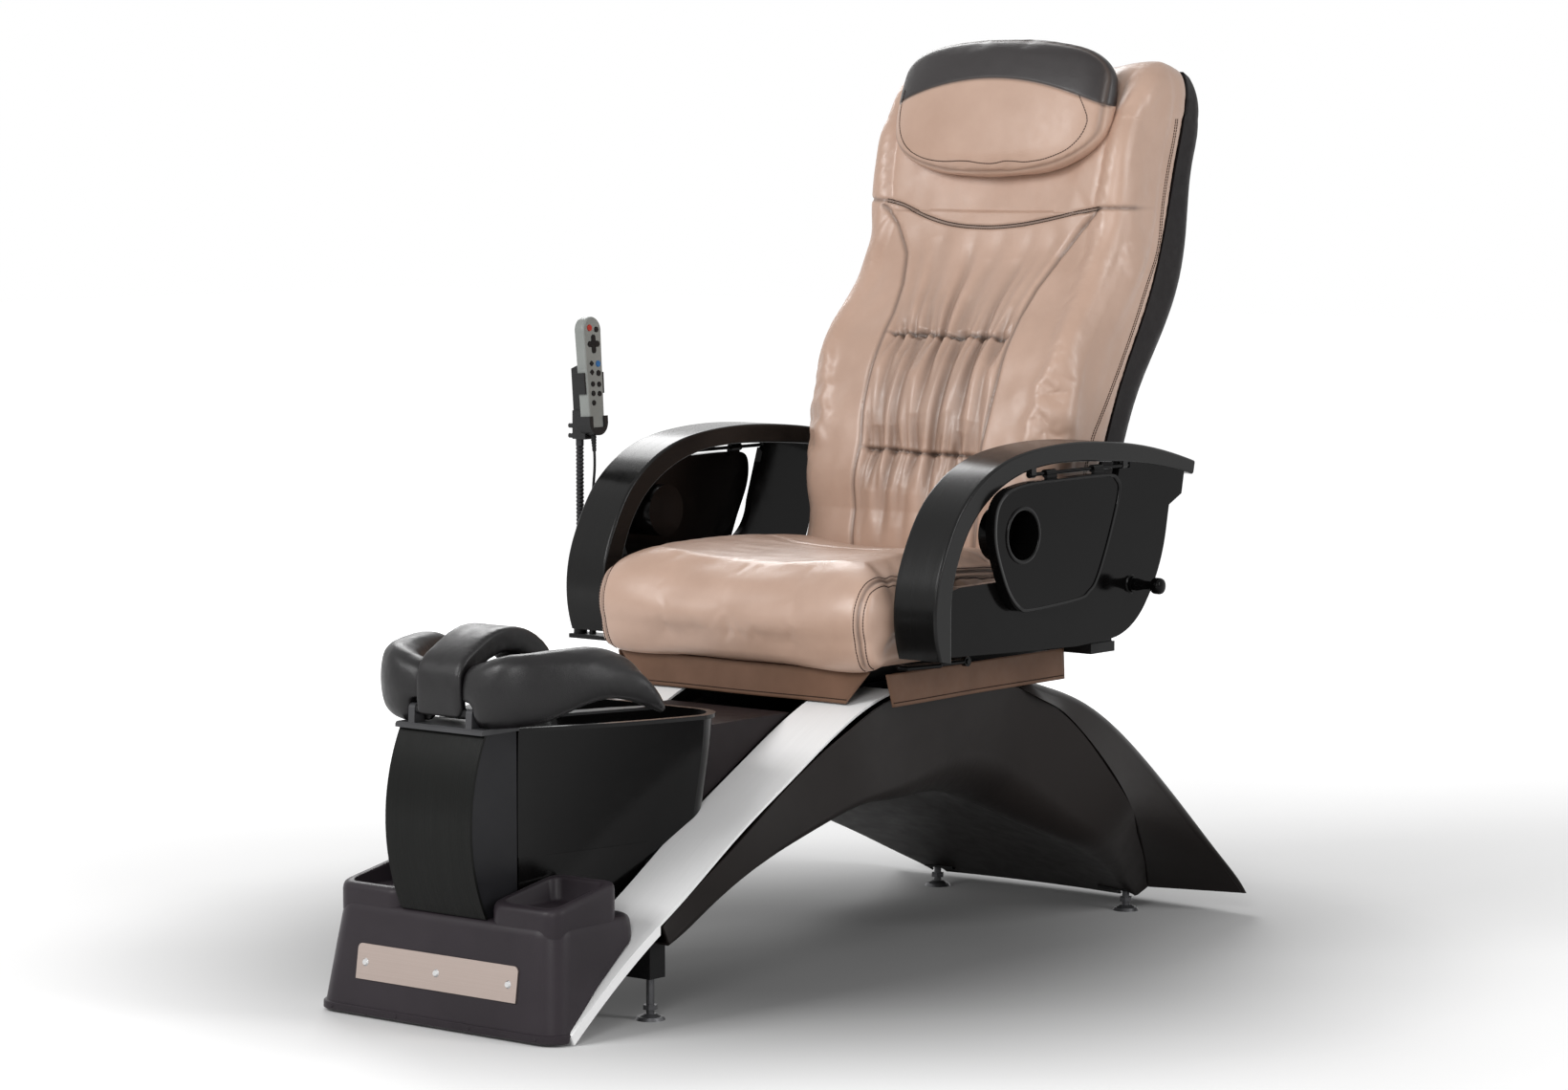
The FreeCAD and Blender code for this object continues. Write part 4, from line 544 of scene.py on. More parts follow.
# %% Seat cushion
VOXEL = 0.005
SEAT_WIDER = 0.055
SEAM_HALF = 0.256
SEAM_WIDTH = 0.0030
SEAM_ROW = 0.007            # from the seam to each row of stitches
SEAT_FLOOR = 0.486
REAR_SEAM = [(-0.236, 0.215), (-0.10, 0.150), (0.10, 0.150), (0.236, 0.215)]


def seat_hold(spots):
    above = np.clip((spots[:, 2] - SEAT_FLOOR) / 0.03, 0.0, 1.0)
    rear = np.clip((0.322 - spots[:, 1]) / 0.05, 0.0, 1.0)
    return above * (0.35 + 0.65 * rear)


def wrinkles(spots, seed, size, stretch):
    """Soft broad folds: a few waves of random direction and phase added up."""
    rng = np.random.default_rng(seed)
    total = np.zeros(len(spots))
    for _ in range(9):
        way = rng.normal(size=3) * stretch
        way /= np.linalg.norm(way)
        pitch = 2 * math.pi / (size * rng.uniform(0.7, 1.6))
        total += np.sin(spots @ way * pitch + rng.uniform(0, 6.28))
    return total / 9


def groove(distance, width):
    return np.exp(-(distance / width) ** 2)


def widened(piece):
    """Foam pressed out to the sides: the seat nearly fills the space between the arms."""
    spots = places(piece.data)
    spots[:, 0] *= 1.0 + SEAT_WIDER * np.clip((0.30 - spots[:, 1]) / 0.08, 0.0, 1.0)
    move_to(piece, spots)


def seat_relief(piece):
    spots = places(piece.data)
    facing = directions(piece.data)
    outer = np.clip((facing[:, 2] + 0.9) * 3, 0.0, 1.0)
    top = np.clip((facing[:, 2] - 0.6) * 4, 0.0, 1.0)
    beside_seam = np.abs(spots[:, 0]) - SEAM_HALF
    seam = groove(np.abs(beside_seam), SEAM_WIDTH) * outer
    rows = sum(groove(np.abs(beside_seam + way), 0.0014) for way in (SEAM_ROW, -SEAM_ROW))
    rear = groove(to_line(spots[:, :2], REAR_SEAM), 0.0045) * top
    soft = wrinkles(spots, 5, 0.16, np.array([1.0, 1.0, 0.4])) * 0.0014 * outer
    small = wrinkles(spots, 9, 0.05, np.array([0.5, 1.0, 0.3])) * 0.0010 * top
    # painted shade: the colour of the side seams and the rear seam is darkened in their grooves
    pushed(piece, soft + small - 0.0030 * seam - 0.0008 * rows - 0.004 * rear, 0.75 * seam + 0.45 * rear)


def padded_piece(piece, finish, slot, body, node):
    finished(piece, finish, slot, body, node)


def cushion(name, node, voxel, pressure, cap, hold, shrink=0.004, calm=5):
    """A soft copy of a solid: remeshed, drawn in a little, puffed up, smoothed and refined."""
    piece = remeshed(copy_of(node, name), voxel)
    smoothed(piece, 6)
    mesh = piece.data
    move_to(piece, places(mesh) - directions(mesh) * (shrink * hold(places(mesh)))[:, None])
    reach = puffed(piece, pressure, cap, hold)
    smoothed(piece, calm)
    doubled(piece)
    print(name, "faces", len(piece.data.polygons), "swelled by up to", round(reach * 1000), "mm")
    return piece


seat = cushion("seat_leather", "seat_cushion", VOXEL, 4.0, 0.009, seat_hold)
widened(seat)
seat_relief(seat)
padded_piece(seat, "champagne_leather", "leather_champagne", "seat", "seat_cushion")

# %% [markdown]
# The back is the showpiece. A shoulder seam with two rows of stitches dips in the middle, two
# curved seams run down from it, and between them the leather is gathered twice on elastic.
# Each gather pulls the leather into folds that fan out and fade, which a list of folds says
# best: where a fold starts, where it ends, how wide it opens and how deep it is. Short folds
# are drawn at random, and a few long ones are listed one by one and run on to the next seam.

# %% Seams of the back
SHOULDER_SEAM = [(-0.262, 1.168), (-0.212, 1.166), (-0.183, 1.160), (-0.139, 1.143), (-0.091, 1.130),
                 (-0.047, 1.125), (0.006, 1.124), (0.070, 1.130), (0.139, 1.143), (0.183, 1.153),
                 (0.215, 1.158), (0.262, 1.159)]
SIDE_SEAM = [(0.216, 1.158), (0.187, 1.126), (0.156, 1.080), (0.137, 1.030), (0.129, 0.985),
             (0.128, 0.935), (0.129, 0.880), (0.127, 0.830), (0.122, 0.780), (0.126, 0.710),
             (0.124, 0.640), (0.122, 0.596)]
UPPER_GATHER = [(-0.127, 0.957), (-0.060, 0.962), (0.000, 0.957), (0.060, 0.961), (0.128, 0.956)]
LOWER_GATHER = [(-0.122, 0.771), (-0.055, 0.772), (0.000, 0.767), (0.060, 0.768), (0.124, 0.766)]
EDGE_SEAM = [(0.700, 1.300), (0.689, 1.262), (0.672, 1.216), (0.655, 1.154), (0.650, 1.092),
             (0.613, 1.032), (0.576, 0.963), (0.534, 0.896), (0.494, 0.836), (0.461, 0.792),
             (0.440, 0.720), (0.432, 0.620)]


def mirror_line(line):
    return [(-a, b) for a, b in line]


# Height of a gather, how far its folds reach up and down, and how much they spread above it.
GATHERS = [(0.957, 0.150, 0.170, 1.30), (0.768, 0.170, 0.150, 1.05)]
FOLDS_EACH = 15
GATHER_HALF = 0.118
LONG_SHARE = 0.45
# A long fold: its place across, its width and its depth.
LONG_FOLDS = [(-0.098, 0.0075, 0.0060), (-0.060, 0.0090, 0.0085), (-0.018, 0.0080, 0.0070),
              (0.022, 0.0095, 0.0090), (0.064, 0.0080, 0.0070), (0.101, 0.0075, 0.0060)]


def fans(seed):
    """Folds of both gathers as (start, end, start width, end width, depth)."""
    rng = random.Random(seed)
    folds = []

    def reach(longest, long_one):
        return longest * (rng.uniform(0.7, 1.0) if long_one else rng.uniform(0.18, 0.45))

    for line_z, reach_up, reach_down, spread in GATHERS:
        for k in range(FOLDS_EACH):
            x = 2 * GATHER_HALF * (k + 0.5 + rng.uniform(-0.30, 0.30)) / FOLDS_EACH - GATHER_HALF
            long_one = rng.random() < LONG_SHARE
            up, down = reach(reach_up, long_one), reach(reach_down, long_one)
            depth = rng.uniform(0.0048, 0.0085)
            above = (x * spread + rng.uniform(-0.012, 0.012), line_z + up)
            below = (x * 1.03 + rng.uniform(-0.014, 0.014), line_z - down)
            folds += [((x, line_z), end, 0.0045, 0.012, depth) for end in (above, below)]
    for x, width, depth in LONG_FOLDS:
        folds += [
            ((x, 0.962), (x * 1.02 + 0.006, 0.700), width, width * 1.4, depth),
            ((x, 0.768), (x * 0.98 - 0.004, 1.030), width, width * 1.2, depth * 0.6),
            ((x * 0.95, 0.768), (x * 1.10, 0.590), width, width * 1.3, depth * 0.8),
            ((x * 0.95, 0.957), (x * 1.45, 1.128), width, width * 1.7, depth * 0.7),
        ]
    return folds


def fold_depth(spots, folds):
    """How deep the folds cut in at each point: narrow at the gather, wide and faint at the end."""
    total = np.zeros(len(spots))
    for start, end, narrow, wide, depth in folds:
        a = np.array(start)
        run = np.array(end) - a
        length = np.linalg.norm(run)
        run /= length
        rel = spots - a
        along = (rel @ run) / length
        aside = np.abs(rel[:, 0] * run[1] - rel[:, 1] * run[0])
        width = narrow + (wide - narrow) * np.clip(along, 0.0, 1.0)
        fade = np.clip(1.0 - along, 0.0, 1.0) * np.clip(along * 40 + 1, 0.0, 1.0) * (along < 1.0)
        total += depth * fade ** 0.7 * np.exp(-(aside / width) ** 2)
    return total


FOLDS = fans(11)
print("folds of the back", len(FOLDS))

# %% [markdown]
# The back cushion follows its solid, and four changes make it leather: a squarer crown, fuller
# corners, a foot that comes down to the seat, and the relief of seams, gathers and folds.

# %% Back cushion
SEAM_DEPTH = 0.0034
FOLD_PAINTED_SHADE = 45.0           # how much painted shade a fold gets for each metre of its depth
CROWN_START = 1.300
CROWN_LIFT = 0.027
CROWN_SPREAD = 0.075
CORNER_SWELL = 0.017
FOOT_REACH = 0.014


def crowned(piece):
    """Lifts the outer ends of the crown, so that the top of the back ends in square shoulders."""
    spots = places(piece.data)
    up = np.clip((spots[:, 2] - CROWN_START) / 0.075, 0.0, 1.0)
    out = np.clip((np.abs(spots[:, 0]) - 0.06) / 0.16, 0.0, 1.0)
    spots[:, 2] += CROWN_LIFT * up * up * (3 - 2 * up) * out
    spots[:, 0] *= 1.0 + CROWN_SPREAD * up * out
    move_to(piece, spots)


def footed(piece):
    """Lets the foot of the back come down to the seat, so that no gap shows between them."""
    spots = places(piece.data)
    low = np.clip((0.670 - spots[:, 2]) / 0.06, 0.0, 1.0)
    spots[:, 1:] -= FOOT_REACH * low[:, None]
    move_to(piece, spots)


def corner_swell(spots, facing):
    """How far the long front corners stand out, because the foam is firmest there."""
    corner = np.clip(-facing[:, 1], 0.0, 1.0) * np.clip(np.abs(facing[:, 0]), 0.0, 1.0) * 2.0
    height = np.interp(spots[:, 2], [0.66, 0.80, 1.00, 1.30, 1.38], [0.0, 0.75, 1.0, 1.0, 0.3])
    return CORNER_SWELL * np.clip(corner, 0.0, 1.0) * height


def back_hold(spots):
    """Only the front may swell: the sewn edges, the channel behind and the foot stay."""
    front = np.clip((back_line(spots[:, 2]) + 0.085 - spots[:, 1]) / 0.05, 0.0, 1.0)
    foot = np.clip((spots[:, 2] - 0.585) / 0.05, 0.0, 1.0)
    return front * (0.3 + 0.7 * foot)


def back_line(heights):
    """How far back the front of the cushion lies at each height, read off the rigid model."""
    return np.interp(heights, BACK_HEIGHTS, BACK_FRONTS)


def skin_of(piece):
    """The faces of a piece, ready for rays."""
    mesh = piece.data
    return BVHTree.FromPolygons([v.co for v in mesh.vertices], [tuple(p.vertices) for p in mesh.polygons])


def front_profile(node, levels):
    skin = skin_of(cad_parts[node])
    return [skin.ray_cast(Vector((0.18, -3.0, z)), Vector((0, 1, 0)))[0].y for z in levels]


BACK_HEIGHTS = [0.62 + 0.04 * k for k in range(18)]
BACK_FRONTS = front_profile("back_cushion", BACK_HEIGHTS)


def back_relief(piece):
    spots = places(piece.data)
    facing = directions(piece.data)
    front = np.clip((-facing[:, 1] - 0.05) * 3, 0.0, 1.0)
    face = spots[:, [0, 2]]
    shoulder = groove(to_line(face, SHOULDER_SEAM), 0.0032)
    sides = np.minimum(to_line(face, SIDE_SEAM), to_line(face, mirror_line(SIDE_SEAM)))
    gathers = np.minimum(to_line(face, UPPER_GATHER), to_line(face, LOWER_GATHER))
    seam_x, seam_z = zip(*reversed(SIDE_SEAM))
    inside = np.interp(face[:, 1], seam_z, seam_x) - np.abs(face[:, 0])
    middle = np.clip(inside / 0.012, 0.0, 1.0) * (face[:, 1] < 1.15)
    folds = fold_depth(face, FOLDS) * middle
    pull = 0.006 * np.exp(-(gathers / 0.028) ** 2) * middle
    swell = 0.004 * (1 - np.exp(-(gathers / 0.05) ** 2)) * middle
    drape = wrinkles(spots, 21, 0.11, np.array([1.0, 0.5, 1.0])) * 0.0034
    slack = wrinkles(spots, 23, 0.055, np.array([0.6, 0.2, 1.0])) * 0.0022
    side_zone = np.clip((np.abs(face[:, 0]) - 0.12) / 0.05, 0.0, 1.0)
    line = groove(sides, 0.0034) * (face[:, 1] < 1.16)
    seams = SEAM_DEPTH * (shoulder + line) + 0.003 * groove(gathers, 0.003) * middle
    amount = (swell - pull - folds - seams + drape + slack * side_zone) * front
    # painted shade: the seams, the gathers and the bottoms of the folds are darkened in colour, the deeper
    # folds more
    dark = 0.75 * (shoulder + line) + 0.7 * groove(gathers, 0.0028) * middle + folds * FOLD_PAINTED_SHADE
    pushed(piece, amount + corner_swell(spots, facing), dark * front)


back = cushion("back_leather", "back_cushion", VOXEL * 1.2, 4.0, 0.010, back_hold)
crowned(back)
footed(back)
back_relief(back)
padded_piece(back, "champagne_leather", "leather_champagne", "back", "back_cushion")

shell = copy_of("back_shell", "back_shell_cover")
crowned(shell)
edged(shell)
finished(shell, "shell_leather", "shell_charcoal", "back", "back_shell")

# %% [markdown]
# The head pillow is a flat D shape with a front panel, a narrow band round its edge and a
# seam where they meet. Its front panel is found by how far a point faces forwards.

# %% Head pillow
PILLOW_LEAN = math.radians(17.4)
PILLOW_FRONT = np.array([0.0, -math.cos(PILLOW_LEAN), math.sin(PILLOW_LEAN)])


def pillow_hold(spots):
    depth = (spots - np.array(from_station(0, 1.354, 1.200))) @ PILLOW_FRONT
    return np.clip((depth - 0.004) / 0.02, 0.0, 1.0)


def pillow_relief(piece):
    spots = places(piece.data)
    ahead = directions(piece.data) @ PILLOW_FRONT
    seam = np.exp(-((ahead - 0.62) / 0.13) ** 2)
    arc = np.abs(spots[:, 2] + BAND_ARC_BEND * spots[:, 0] ** 2 - BAND_ARC_TOP)
    join = groove(arc, 0.0022) * np.clip(ahead * 4, 0.0, 1.0)
    soft = wrinkles(spots, 31, 0.12, np.array([1.0, 1.0, 1.0])) * 0.0008
    # painted shade: the edge seam and the join of the two leathers are darkened in colour
    pushed(piece, soft - 0.0016 * seam - 0.0018 * join, 0.45 * seam + 0.6 * join)


head = cushion("pillow_leather_cover", "pillow", VOXEL * 0.8, 1.0, 0.002, pillow_hold, 0.001, calm=16)
pillow_relief(head)
padded_piece(head, "pillow_leather", "leather_champagne", "head_pillow", "pillow")

# %% [markdown]
# The footrest has two horn-shaped pads and an arched strap over them, all in coated black
# leather. They are firm, so they swell only a little. The horns get their height from a small
# table: how much to add across their width, above and below.

# %% Footrest pads


def pad_hold(spots):
    return np.clip((spots[:, 2] - 0.455) / 0.02, 0.0, 1.0)


HORN_X = [0.048, 0.078, 0.108, 0.134, 0.154, 0.171, 0.186, 0.199]
HORN_LIFT = [0.008, 0.016, 0.023, 0.025, 0.024, 0.021, 0.016, 0.006]
HORN_DROP = [0.008, 0.008, 0.003, 0.0, 0.0, 0.0, 0.0, 0.0]
HORN_INNER = 0.011
STRAP_PADDING = 0.012
STRAP_DROP = 0.016


def thick_horns(piece):
    """Gives the two horns their full height: the foam stands well above the steel carrier."""
    spots = places(piece.data)
    out = np.abs(spots[:, 0])
    low = np.interp(spots[:, 0] ** 2, [0.0, 0.020, 0.040], [0.446, 0.446, 0.464])
    share = np.clip((spots[:, 2] - low) / 0.075, 0.0, 1.0)
    inner = np.clip((0.074 - out) / 0.026, 0.0, 1.0)
    spots[:, 0] -= np.sign(spots[:, 0]) * HORN_INNER * inner
    lift, drop = np.interp(out, HORN_X, HORN_LIFT), np.interp(out, HORN_X, HORN_DROP)
    spots[:, 2] += lift * share - drop * (1 - share)
    move_to(piece, spots)


def thick_strap(piece):
    """Lets the padding under the arch of the strap hang lower towards the middle."""
    spots, facing = places(piece.data), directions(piece.data)
    under = np.clip(-facing[:, 2] * 1.6, 0.0, 1.0) * np.clip((spots[:, 2] - 0.498) / 0.02, 0.0, 1.0)
    ends = np.clip((0.480 - spots[:, 2]) / 0.024, 0.0, 1.0)
    spots[:, 2] -= STRAP_PADDING * under + STRAP_DROP * ends
    move_to(piece, spots)


def pad_relief(piece, seed):
    spots = places(piece.data)
    soft = wrinkles(spots, seed, 0.07, np.array([1.0, 1.0, 0.6])) * 0.0007
    pushed(piece, soft, np.zeros(len(spots)))


for name, node, seed, thicken in (("footrest_pads", "footrest_wings", 41, thick_horns),
                                  ("strap_pad", "footrest_strap", 43, thick_strap)):
    pad = cushion(name, node, VOXEL * 0.8, 3.0, 0.004, pad_hold, 0.0)
    thicken(pad)
    pad_relief(pad, seed)
    padded_piece(pad, "pad_leather", "pad_black", "footrest", node)

# %% [markdown]
# Stitches repeat along a path, which is what Geometry Nodes do well. The path is a row of
# points laid on the leather. The tree turns it into a curve, spaces points along it, stands a
# short thread on each, and ends in real geometry with its own finish.

# %% A tree that sews


class PlacingTree:
    """A node group that stands copies of a small part on points and gives them one finish."""

    def __init__(self, name, points, made, numbers, vectors=()):
        self.tree = bpy.data.node_groups.new(name, "GeometryNodeTree")
        face = self.tree.interface
        inputs = (("Geometry", (points,)), ("Float", numbers), ("Vector", vectors), ("Material", ("Finish",)))
        for kind, labels in inputs:
            for label in labels:
                face.new_socket(label, in_out="INPUT", socket_type="NodeSocket" + kind)
        face.new_socket(made, in_out="OUTPUT", socket_type="NodeSocketGeometry")
        self.link = self.tree.links.new
        self.given = self.node("NodeGroupInput").outputs
        self.placed = self.node("GeometryNodeInstanceOnPoints")
        self.turned = self.node("FunctionNodeAlignRotationToVector", axis="Z")
        real = self.node("GeometryNodeRealizeInstances")
        finish = self.node("GeometryNodeSetMaterial")
        self.link(self.turned.outputs["Rotation"], self.placed.inputs["Rotation"])
        self.link(self.placed.outputs["Instances"], real.inputs["Geometry"])
        self.link(real.outputs["Geometry"], finish.inputs["Geometry"])
        self.link(self.given["Finish"], finish.inputs["Material"])
        self.link(finish.outputs["Geometry"], self.node("NodeGroupOutput").inputs[made])

    def node(self, kind, **settings):
        return with_settings(self.tree.nodes.new(kind), settings)

    def stand(self, part, points, facing):
        """Stands the part on the points, its own upward axis turned to the given vector."""
        self.link(part, self.placed.inputs["Instance"])
        self.link(points, self.placed.inputs["Points"])
        self.link(facing, self.turned.inputs["Vector"])

    def run_on(self, piece, values):
        """Runs the tree on a piece with the given values and keeps the result as its mesh."""
        maker = piece.modifiers.new(self.tree.name, "NODES")
        maker.node_group = self.tree
        for item in self.tree.interface.items_tree:
            if item.name in values:
                maker[item.identifier] = values[item.name]
        return settle(piece)


THREAD_SIDES = 6


def stitch_tree():
    t = PlacingTree("stitches", "Path", "Sewn", ("Spacing", "Thread", "Length"))
    as_curve = t.node("GeometryNodeMeshToCurve")
    spaced = t.node("GeometryNodeResampleCurve", mode="LENGTH")
    thread = t.node("GeometryNodeMeshCylinder")
    thread.inputs["Vertices"].default_value = THREAD_SIDES
    t.link(t.given["Path"], as_curve.inputs[0])
    t.link(as_curve.outputs[0], spaced.inputs["Curve"])
    t.link(t.given["Spacing"], spaced.inputs["Length"])
    t.link(t.given["Thread"], thread.inputs["Radius"])
    t.link(t.given["Length"], thread.inputs["Depth"])
    tangent = t.node("GeometryNodeInputTangent").outputs["Tangent"]
    t.stand(thread.outputs["Mesh"], spaced.outputs["Curve"], tangent)
    return t


STITCHES = stitch_tree()


def line_mesh(name, paths):
    """A mesh of bare edges that holds one or more paths."""
    verts, edges = [], []
    for path in paths:
        first = len(verts)
        verts += [tuple(p) for p in path]
        edges += [(first + k, first + k + 1) for k in range(len(path) - 1)]
    return mesh_object(name, verts, edges, [])


def sewn(name, paths, body):
    values = {"Spacing": 0.0046, "Thread": 0.0008, "Length": 0.0034, "Finish": FINISHES["thread_brown"]}
    piece = STITCHES.run_on(line_mesh(name, paths), values)
    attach(piece, body)
    print(name, "threads", len(piece.data.polygons) // (THREAD_SIDES + 2))


print("stitch tree with", len(STITCHES.tree.nodes), "nodes")

# %% [markdown]
# A seam's path is given as a few points seen from one side. It is cut into short steps, and
# each step is dropped onto the leather along that view, so the stitches follow every fold.

# %% Laying a path on leather
THREAD_LIFT = 0.0003


def dense(line, step=0.004):
    points = []
    for a, b in zip(line[:-1], line[1:]):
        a, b = Vector(a), Vector(b)
        count = max(1, round((b - a).length / step))
        points += [a.lerp(b, k / count) for k in range(count)]
    return points + [Vector(line[-1])]


def smooth_line(line, rounds=2):
    """Cuts the corners of a line of points, keeping its ends."""
    for _ in range(rounds):
        cut = [line[0]]
        for a, b in zip(line[:-1], line[1:]):
            cut += [tuple(x * (1 - t) + y * t for x, y in zip(a, b)) for t in (0.25, 0.75)]
        line = cut + [line[-1]]
    return line


def on_skin(skin, rays):
    """Where rays, given as (start, way), meet the skin, a thread's lift above it."""
    hits = [skin.ray_cast(start, way) for start, way in rays]
    return [spot + normal * THREAD_LIFT for spot, normal, _, _ in hits if spot is not None]


def laid(skin, line, start, way):
    """Drops 2-D points onto the skin. start(a, b) gives where each ray begins."""
    return on_skin(skin, [(start(*point), Vector(way)) for point in dense(line)])


print("path tools ready")

# %% Stitches of the back
back_skin = skin_of(back)


def before_back(x, z):
    return Vector((x, -2.0, z))


shoulder_rows = []
for offset in (-0.0022, 0.0030):
    row = smooth_line([(x, z + offset) for x, z in SHOULDER_SEAM if abs(x) < 0.255])
    shoulder_rows.append(laid(back_skin, row, before_back, (0, 1, 0)))
sewn("shoulder_stitches", shoulder_rows, "back")

edge_rows = []
for side in (1, -1):
    for offset in (0.0, 0.006):
        row = smooth_line([(y - offset, z) for y, z in EDGE_SEAM])
        edge_rows.append(laid(back_skin, row, lambda y, z: Vector((side, y, z)), (-side, 0, 0)))
sewn("edge_stitches", edge_rows, "back")

# %% [markdown]
# The row on the pillow lies where its front starts to turn away. That edge is looked for in
# every direction from the middle, and the distances found are smoothed before sewing.

# %% Stitches of the pillow
head_skin = skin_of(head)
PILLOW_HEART = (0.020, 1.310)
ROW_TILT = 0.86             # how far the leather still faces forwards at the row
ROW_INSET = 0.004


def on_pillow(turn, radius):
    x = PILLOW_HEART[0] + math.cos(turn) * radius
    z = PILLOW_HEART[1] + math.sin(turn) * radius
    return head_skin.ray_cast(before_back(x, z), Vector((0, 1, 0)))


def panel_radius(turn):
    """How far the front panel reaches in one direction from the pillow's middle."""
    radius = 0.060
    while radius < 0.260:
        spot, normal, _, _ = on_pillow(turn, radius)
        if spot is None or normal @ Vector(PILLOW_FRONT) < ROW_TILT:
            break
        radius += 0.001
    return radius - ROW_INSET


def smoothed_by(average, reach, row):
    """Replaces each number of a row by an average over its neighbours."""
    wide = np.pad(row, reach, mode="edge")
    return np.array([average(wide[k:k + 2 * reach + 1]) for k in range(len(row))])


turns = np.radians(np.arange(170, 374, 3))
radii = smoothed_by(np.median, 5, np.array([panel_radius(turn) for turn in turns]))
radii = smoothed_by(np.mean, 3, radii)
pillow_row = []
for turn, radius in zip(turns, radii):
    spot, normal, _, _ = on_pillow(turn, radius)
    pillow_row.append(spot + normal * THREAD_LIFT)
sewn("pillow_stitches", [pillow_row], "head_pillow")

# %% Stitches of the seat
seat_skin = skin_of(seat)
SEAT_SIDE_PATH = [(-0.108, 0.480), (-0.128, 0.496), (-0.142, 0.524), (-0.150, 0.551), (-0.146, 0.575),
                  (-0.130, 0.612), (-0.095, 0.630), (-0.020, 0.650), (0.100, 0.650), (0.250, 0.640),
                  (0.300, 0.630)]
SEAT_HEART = Vector((0.0, 0.06, 0.545))


def round_seat(x):
    """A row of stitches at one distance from the middle, found by looking out from inside."""
    rays = []
    for y, z in dense(SEAT_SIDE_PATH):
        middle = Vector((x, min(max(y, SEAT_HEART.y - 0.13), SEAT_HEART.y + 0.2), SEAT_HEART.z))
        rays.append((middle, (Vector((x, y, z)) - middle).normalized()))
    return on_skin(seat_skin, rays)


seat_rows = [round_seat(side * (SEAM_HALF + offset)) for side in (1, -1) for offset in (-SEAM_ROW, SEAM_ROW)]
sewn("seat_stitches", seat_rows, "seat")

# %% [markdown]
# Leather skirts hide the rails. They are single thin sheets with a stitched hem, so a grid
# with a slight wave and a thickness is enough.

# %% Skirts
SKIRT_THICKNESS = 0.0016
SKIRT_ACROSS, SKIRT_DOWN = 60, 16
HEM_AT = 0.88               # how far down the row of the hem lies
HEM_INSET, HEM_STEPS = 0.012, 80


def skirt(name, node, wave, corners, outward):
    """A waved sheet between four corners, given in order round it, with a stitched hem."""
    a, b, c, d = (Vector(from_station(*corner)) for corner in corners)

    def at(u, v):
        return a.lerp(b, u).lerp(d.lerp(c, u), v) + wave(u, v)

    verts = [at(i / SKIRT_ACROSS, j / SKIRT_DOWN)
             for j in range(SKIRT_DOWN + 1) for i in range(SKIRT_ACROSS + 1)]
    faces = []
    for j in range(SKIRT_DOWN):
        for i in range(SKIRT_ACROSS):
            k = j * (SKIRT_ACROSS + 1) + i
            faces.append((k, k + 1, k + SKIRT_ACROSS + 2, k + SKIRT_ACROSS + 1))
    piece = mesh_object(name, verts, [], faces)
    piece.data.shade_smooth()
    modified(piece, "SOLIDIFY", thickness=SKIRT_THICKNESS, offset=0.0)
    finished(piece, "skirt_leather", "leather_champagne", "seat", node)
    lift = Vector(outward) * (SKIRT_THICKNESS / 2 + THREAD_LIFT)
    hem = [at(HEM_INSET + (1 - 2 * HEM_INSET) * k / HEM_STEPS, HEM_AT) + lift for k in range(HEM_STEPS + 1)]
    sewn(name + "_hem", [hem], "seat")


def front_wave(u, v):
    return Vector((0, 0.0025 * math.sin(9 * u) * v - 0.004 * v, 0))


FRONT_SKIRT = [(-0.250, 0.7005, 0.470), (0.250, 0.7005, 0.470),
               (0.205, 0.7005, 0.4185), (-0.205, 0.7005, 0.4185)]
SIDE_SKIRT = [(0.2675, 0.716, 0.466), (0.2675, 1.176, 0.466),
              (0.2675, 1.176, 0.417), (0.2675, 0.731, 0.415)]

skirt("front_skirt_leather", "front_skirt", front_wave, FRONT_SKIRT, (0, -1, 0))
for side, word in ((1, "left"), (-1, "right")):
    def side_wave(u, v):
        return Vector((side * 0.002 * math.sin(7 * u + 1) * v, 0, 0))
    corners = [(side * x, y, z) for x, y, z in SIDE_SKIRT]
    skirt("side_skirt_" + word, "side_skirts", side_wave, corners, (side, 0, 0))
print("skirts of", SKIRT_ACROSS, "by", SKIRT_DOWN, "faces")

# %% [markdown]
# The tub at the toe is one moulding with soft edges and a raised pod on each side of the
# column. A loft does this best: level rings with round corners, one above the other, and the
# last rings turn inwards over the edge. A block cut to the slope of the arch trims the rear.

# %% Tools for mouldings


def rounded(half, front, rear, radius, middle=0.0, steps=8):
    """A level rectangle with round corners, as (x, station) in metres, counter-clockwise."""
    ring = []
    x, y0, y1 = half - radius, front + radius, rear - radius
    for cx, cy, start in ((x, y1, 0), (-x, y1, 90), (-x, y0, 180), (x, y0, 270)):
        for k in range(steps + 1):
            a = math.radians(start + 90.0 * k / steps)
            ring.append((middle + cx + radius * math.cos(a), cy + radius * math.sin(a)))
    return ring


def new_piece(name, verts, faces, smooth_below=40.0):
    """A welded piece with smooth faces, sharp where they meet at more than the given angle."""
    piece = mesh_object(name, verts, [], faces)
    mesh = piece.data
    work = bmesh.new()
    work.from_mesh(mesh)
    bmesh.ops.remove_doubles(work, verts=work.verts, dist=1e-6)
    bmesh.ops.recalc_face_normals(work, faces=work.faces)
    work.to_mesh(mesh)
    work.free()
    return edged(piece, smooth_below)


def skinned(rings, ends=True, first=0):
    """Vertices and faces of a skin through rings of equal counts, with both ends closed."""
    count = len(rings[0])
    verts = [tuple(point) for ring in rings for point in ring]
    faces = []
    for j in range(len(rings) - 1 if ends else len(rings)):
        low, high = first + j * count, first + ((j + 1) % len(rings)) * count
        for i in range(count):
            after = (i + 1) % count
            faces.append((low + i, low + after, high + after, high + i))
    if ends:
        faces.append(tuple(first + i for i in reversed(range(count))))
        faces.append(tuple(first + (len(rings) - 1) * count + i for i in range(count)))
    return verts, faces


